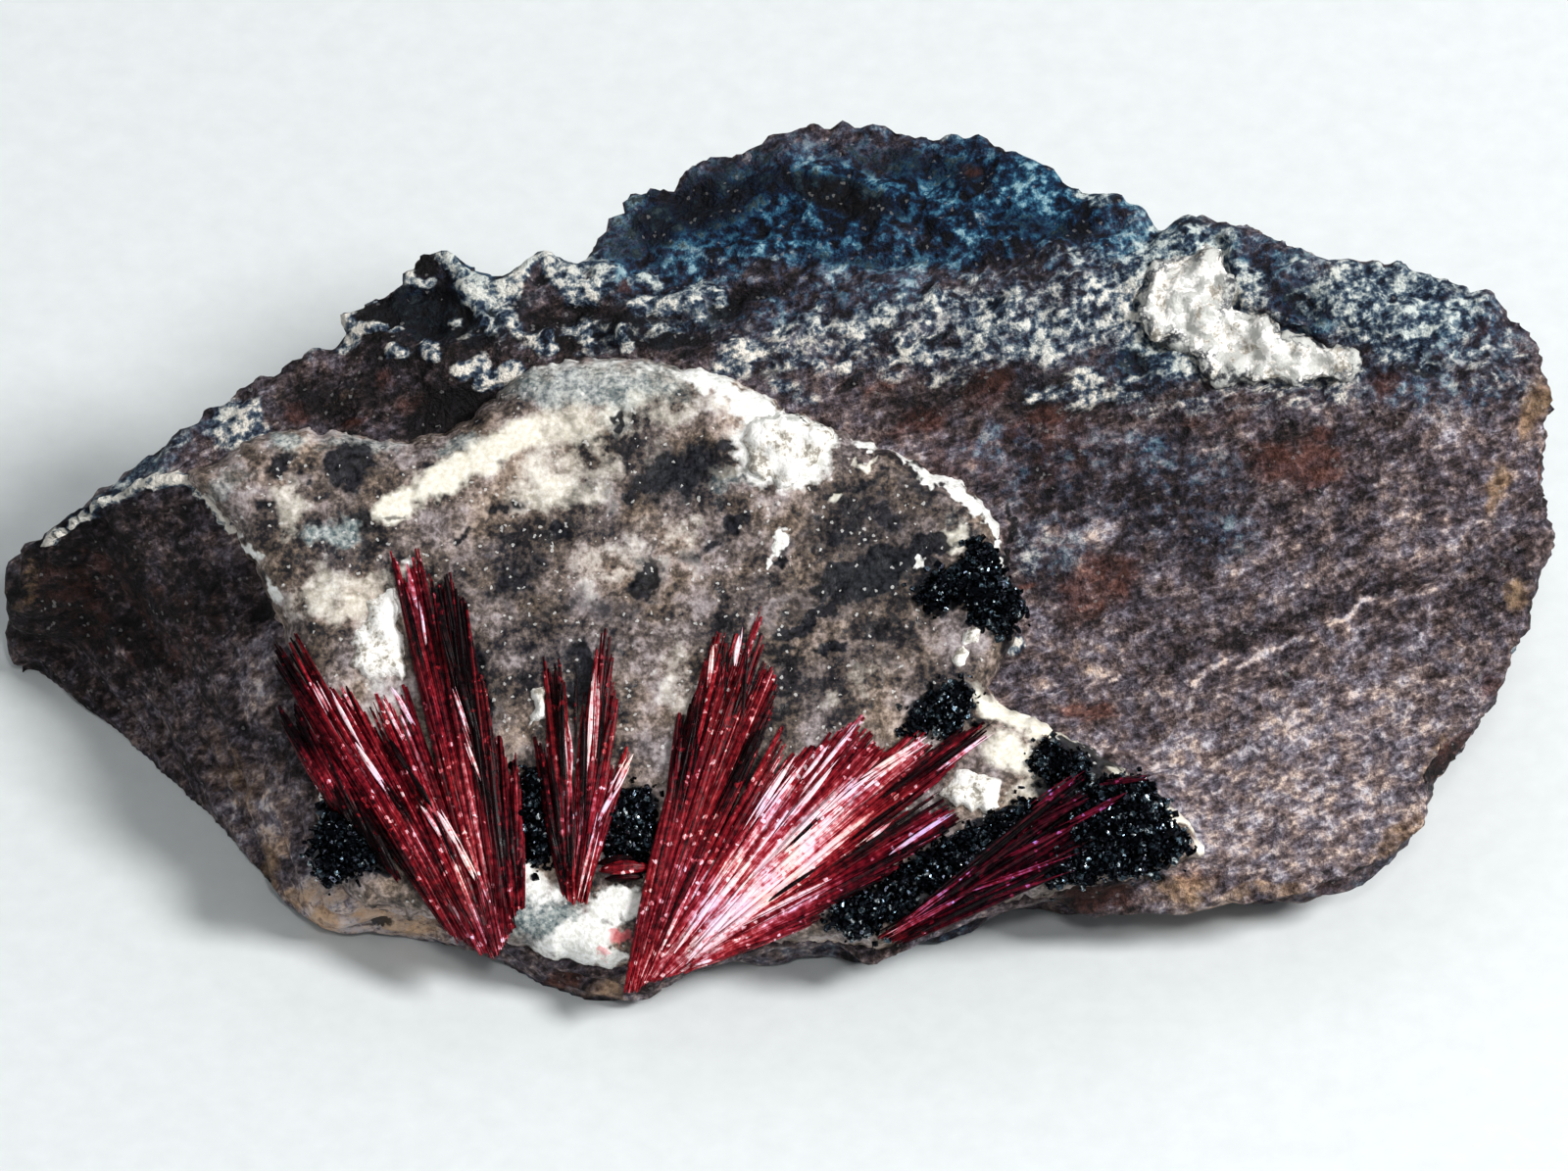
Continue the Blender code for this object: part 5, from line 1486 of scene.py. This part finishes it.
@once
def kermesite_material():
    """Glossy needles from purple-black to cherry red, with fine grooves along them, painted pink-white
    highlights and painted glints.
    """
    colours = bpy.context.scene.specimen_colours
    material, graph, shader = new_material("kermesite")
    place = graph.node("Attribute", attribute_name="streak").outputs["Vector"]
    drawn = graph.node("VectorMath", {0: place, 1: (9.0, 0.35, 1.0)}, operation="MULTIPLY").outputs[0]
    grooves = graph.node("TexNoise", {
        "Vector": drawn, "Scale": 1.0, "Detail": 3.0, "Roughness": 0.6}).outputs[0]
    speckle = graph.grain(size=0.5, detail=3.0, contrast=1.5)
    level = graph.math("MULTIPLY_ADD", graph.math("SUBTRACT", grooves, 0.5), 0.8, graph.mask("tone"))
    level = graph.math("MULTIPLY_ADD", graph.math("SUBTRACT", speckle, 0.5), 0.3, level)
    # Painted glints: small pink-white specks over the needles
    glints = graph.glints(size=0.28, share=0.04)
    level = graph.math("MULTIPLY_ADD", glints, 0.34, level)
    # The ramp's top, pink to near white, is painted highlight for the pale blades and blots
    colour = graph.ramp(level, [
        (0.02, srgb(9, 1, 3)), (0.2, srgb(36, 3, 9)), (0.42, tuple(colours.kermesite)),
        (0.64, srgb(150, 32, 42)), (0.8, srgb(208, 116, 124)), (0.96, srgb(253, 238, 238)),
    ])
    hue = graph.grain(size=6.0, detail=2.0, contrast=1.6)
    colour = graph.mix(0.5, colour, graph.mix(hue, srgb(255, 214, 190), srgb(232, 196, 255)), "MULTIPLY")
    colour = graph.mix(graph.mask("purple"), colour, srgb(190, 170, 255), "MULTIPLY")
    rough = graph.math("MULTIPLY_ADD", speckle, 0.25, 0.2)
    wire(graph, shader, grooves, 0.4, 0.08, {
        "Base Color": colour, "Roughness": rough, "IOR": 1.5, "Specular IOR Level": 0.08})
    return material


@once
def stibnite_material():
    """Black metallic crystals, some with a blue-grey shine."""
    colours = bpy.context.scene.specimen_colours
    material, graph, shader = new_material("stibnite")
    fine = graph.grain(size=0.3, detail=2.0, contrast=1.5)
    level = graph.total((graph.mask("tone"), 0.7), (fine, 0.3))
    colour = graph.ramp(level, [
        (0.1, srgb(10, 11, 14)), (0.6, tuple(colours.stibnite)), (0.82, srgb(70, 88, 98)),
        (0.95, srgb(226, 232, 232)),
    ])
    rough = graph.math("MULTIPLY_ADD", fine, 0.16, 0.14)
    wire(graph, shader, fine, 0.2, 0.05, {"Base Color": colour, "Roughness": rough, "Metallic": 1.0})
    return material


@once
def floor_material():
    material, graph, shader = new_material("pale_floor")
    grain = graph.grain(size=2.0, detail=2.0, contrast=0.4)
    colour = graph.mix(grain, srgb(206, 210, 210), srgb(222, 226, 226))
    wire(graph, shader, grain, 0.05, 0.05, {"Base Color": colour, "Roughness": 0.8})
    return material


# The stage


def aim(obj, target):
    obj.rotation_euler = (Vector(target) - obj.location).to_track_quat("-Z", "Y").to_euler()


def direction(azimuth, elevation):
    """A direction from the specimen: azimuth 0 is towards the camera's side, and grows to the right."""
    a, e = math.radians(azimuth), math.radians(elevation)
    return Vector((math.sin(a) * math.cos(e), -math.cos(a) * math.cos(e), math.sin(e)))


# The picture's middle and width on the drawing, and the floor's reach and its gap under the block in metres
PICTURE_MIDDLE = (800, 597.5)
PICTURE_WIDTH = 1600
FLOOR_REACH = 4.0
FLOOR_GAP = 0.00005
SENSOR_WIDTH = 36


def make_stage(settings):
    """A pale floor, soft studio lights and the camera at the drawing's own angle."""
    target = Vector(points_at(*PICTURE_MIDDLE, 1.0)) * MM
    mesh = bpy.data.meshes.new("floor")
    corners = [(-FLOOR_REACH, -FLOOR_REACH), (FLOOR_REACH, -FLOOR_REACH), (FLOOR_REACH, FLOOR_REACH),
               (-FLOOR_REACH, FLOOR_REACH)]
    mesh.from_pydata([(x, y, -FLOOR_GAP) for x, y in corners], [], [(0, 1, 2, 3)])
    mesh.materials.append(floor_material())
    floor = bpy.data.objects.new("floor", mesh)
    bpy.context.scene.collection.objects.link(floor)

    # Azimuth, elevation, distance in metres, size in metres, power
    lights = {
        "key_light": (72, 44, 1.0, 0.28, settings.key_power),
        "near_light": (8, 56, 1.1, 0.14, settings.near_power),
        "fill_light": (-75, 35, 1.2, 0.8, settings.fill_power),
        "back_light": (165, 40, 1.2, 0.8, settings.back_power),
    }
    for name, (azimuth, elevation, distance, size, power) in lights.items():
        data = bpy.data.lights.new(name, "AREA")
        data.shape = "DISK"
        data.size = size
        data.energy = power
        light = bpy.data.objects.new(name, data)
        bpy.context.scene.collection.objects.link(light)
        light.location = target + direction(azimuth, elevation) * distance
        aim(light, target)

    world = bpy.data.worlds.new("studio")
    world.use_nodes = True
    world.node_tree.nodes["Background"].inputs["Color"].default_value = (0.8, 0.86, 0.9, 1)
    world.node_tree.nodes["Background"].inputs["Strength"].default_value = settings.sky_light
    bpy.context.scene.world = world
    bpy.context.scene.view_settings.view_transform = "Standard"

    camera = bpy.data.objects.new("camera", bpy.data.cameras.new("camera"))
    bpy.context.scene.collection.objects.link(camera)
    distance = settings.camera_distance
    camera.location = target + Vector(TOWARDS_VIEWER) * distance
    aim(camera, target)
    camera.data.sensor_width = SENSOR_WIDTH
    camera.data.lens = SENSOR_WIDTH * distance / (PICTURE_WIDTH * UNIT * MM * settings.frame_margin)
    camera.data.clip_end = 100
    bpy.context.scene.camera = camera


# The add-on


class SpecimenSizes(bpy.types.PropertyGroup):
    """Sizes of the specimen's surfaces and crystals."""

    rock_voxel: bpy.props.FloatProperty(
        name="Rock Detail", description="Smallest step of the rock's surface, in millimetres",
        default=0.44, min=0.3, max=2.0)
    roughness: bpy.props.FloatProperty(
        name="Rock Relief", description="How far ledges and grains stand out, as a share of the usual",
        default=1.0, min=0.0, max=2.0, subtype="FACTOR")
    vein_spacing: bpy.props.FloatProperty(
        name="Vein Detail", description="Step of the vein's surface, in drawing units",
        default=3.2, min=2.5, max=20.0)
    needle_width: bpy.props.FloatProperty(
        name="Needle Width", description="Width of the needles, as a share of the usual",
        default=1.0, min=0.3, max=3.0, subtype="FACTOR")
    grain_size: bpy.props.FloatProperty(
        name="Black Crystal Size", description="Size of the black crystals, in millimetres",
        default=0.36, min=0.2, max=2.0)


class SpecimenColours(bpy.types.PropertyGroup):
    """Main colours of the minerals."""

    rust: bpy.props.FloatVectorProperty(
        name="Rust", description="Colour of the rust stains", subtype="COLOR", size=3,
        default=srgb(106, 62, 48), min=0, max=1)
    vein: bpy.props.FloatVectorProperty(
        name="Vein Quartz", description="Colour of the vein", subtype="COLOR", size=3,
        default=srgb(164, 152, 143), min=0, max=1)
    kermesite: bpy.props.FloatVectorProperty(
        name="Kermesite", description="Colour of the red needles", subtype="COLOR", size=3,
        default=srgb(92, 11, 21), min=0, max=1)
    stibnite: bpy.props.FloatVectorProperty(
        name="Stibnite", description="Colour of the black crystals", subtype="COLOR", size=3,
        default=srgb(30, 33, 40), min=0, max=1)


class StageSettings(bpy.types.PropertyGroup):
    """Lights and camera."""

    key_power: bpy.props.FloatProperty(
        name="Key Light", description="Power of the main light", default=12.0, min=0, unit="POWER")
    near_power: bpy.props.FloatProperty(
        name="Near Light", description="Power of the small light by the camera", default=2.2, min=0,
        unit="POWER")
    fill_power: bpy.props.FloatProperty(
        name="Fill Light", description="Power of the light from the left", default=0.8, min=0, unit="POWER")
    back_power: bpy.props.FloatProperty(
        name="Back Light", description="Power of the light from behind", default=2.4, min=0, unit="POWER")
    sky_light: bpy.props.FloatProperty(
        name="Sky Light", description="Strength of the light from all sides", default=0.3, min=0)
    camera_distance: bpy.props.FloatProperty(
        name="Camera Distance", description="Distance from the camera to the specimen", default=3.0, min=0.3,
        unit="LENGTH")
    frame_margin: bpy.props.FloatProperty(
        name="Frame Margin", description="Width of the picture over that of the drawing", default=1.03,
        min=0.5, max=3.0, subtype="FACTOR")


class SPECIMEN_OT_rock(bpy.types.Operator):
    """Build the block of schist"""

    bl_idname = "specimen.rock"
    bl_label = "Rock"

    def execute(self, context):
        make_host_rock(context.scene.specimen_sizes)
        return {"FINISHED"}


class SPECIMEN_OT_vein(bpy.types.Operator):
    """Build the plate of vein quartz"""

    bl_idname = "specimen.vein"
    bl_label = "Quartz Vein"

    def execute(self, context):
        make_quartz_vein(context.scene.specimen_sizes)
        return {"FINISHED"}


class SPECIMEN_OT_fans(bpy.types.Operator):
    """Build the fans of red needles and the dark blades"""

    bl_idname = "specimen.fans"
    bl_label = "Kermesite Fans"

    def execute(self, context):
        for seed, name in enumerate(FANS):
            make_fan(name, context.scene.specimen_sizes, 100 + seed)
        return {"FINISHED"}


class SPECIMEN_OT_small_crystal(bpy.types.Operator):
    """Build the short red blade between the fans"""

    bl_idname = "specimen.small_crystal"
    bl_label = "Small Crystal"

    def execute(self, context):
        make_small_crystal(context.scene.specimen_sizes)
        return {"FINISHED"}


class SPECIMEN_OT_stibnite(bpy.types.Operator):
    """Build the masses of black crystals"""

    bl_idname = "specimen.stibnite"
    bl_label = "Stibnite"

    def execute(self, context):
        for number, node in enumerate(STIBNITE):
            make_stibnite(node, context.scene.specimen_sizes, 10 + 2 * number)
        return {"FINISHED"}


class SPECIMEN_OT_milky_quartz(bpy.types.Operator):
    """Build the lumps of white quartz"""

    bl_idname = "specimen.milky_quartz"
    bl_label = "Milky Quartz"

    def execute(self, context):
        for number, node in enumerate(MILKY_QUARTZ):
            make_milky_quartz(node, 30 + 4 * number)
        make_ridge_quartz(70)
        return {"FINISHED"}


class SPECIMEN_OT_stage(bpy.types.Operator):
    """Set up the floor, the lights and the camera"""

    bl_idname = "specimen.stage"
    bl_label = "Stage"

    def execute(self, context):
        make_stage(context.scene.specimen_stage)
        return {"FINISHED"}


OPERATORS = (
    SPECIMEN_OT_rock, SPECIMEN_OT_vein, SPECIMEN_OT_fans, SPECIMEN_OT_small_crystal,
    SPECIMEN_OT_stibnite, SPECIMEN_OT_milky_quartz, SPECIMEN_OT_stage,
)


class SPECIMEN_PT_panel(bpy.types.Panel):
    """Lists the pieces of the specimen and their settings"""

    bl_idname = "SPECIMEN_PT_panel"
    bl_label = "Specimen"
    bl_space_type = "VIEW_3D"
    bl_region_type = "UI"
    bl_category = "Specimen"

    def draw(self, context):
        for operator in OPERATORS:
            self.layout.operator(operator.bl_idname)
        for name in SETTINGS:
            group = getattr(context.scene, name)
            box = self.layout.box()
            for prop in group.__annotations__:
                box.prop(group, prop)


SETTINGS = {
    "specimen_sizes": SpecimenSizes, "specimen_colours": SpecimenColours, "specimen_stage": StageSettings,
}
CLASSES = (*SETTINGS.values(), *OPERATORS, SPECIMEN_PT_panel)


def register():
    for cls in CLASSES:
        bpy.utils.register_class(cls)
    for name, group in SETTINGS.items():
        setattr(bpy.types.Scene, name, bpy.props.PointerProperty(type=group))


def unregister():
    for name in SETTINGS:
        delattr(bpy.types.Scene, name)
    for cls in reversed(CLASSES):
        bpy.utils.unregister_class(cls)


def main():
    register()
    bpy.ops.specimen.stage()
    bpy.ops.specimen.rock()
    bpy.ops.specimen.vein()
    bpy.ops.specimen.fans()
    bpy.ops.specimen.small_crystal()
    bpy.ops.specimen.stibnite()
    bpy.ops.specimen.milky_quartz()


if __name__ == "__main__":
    main()
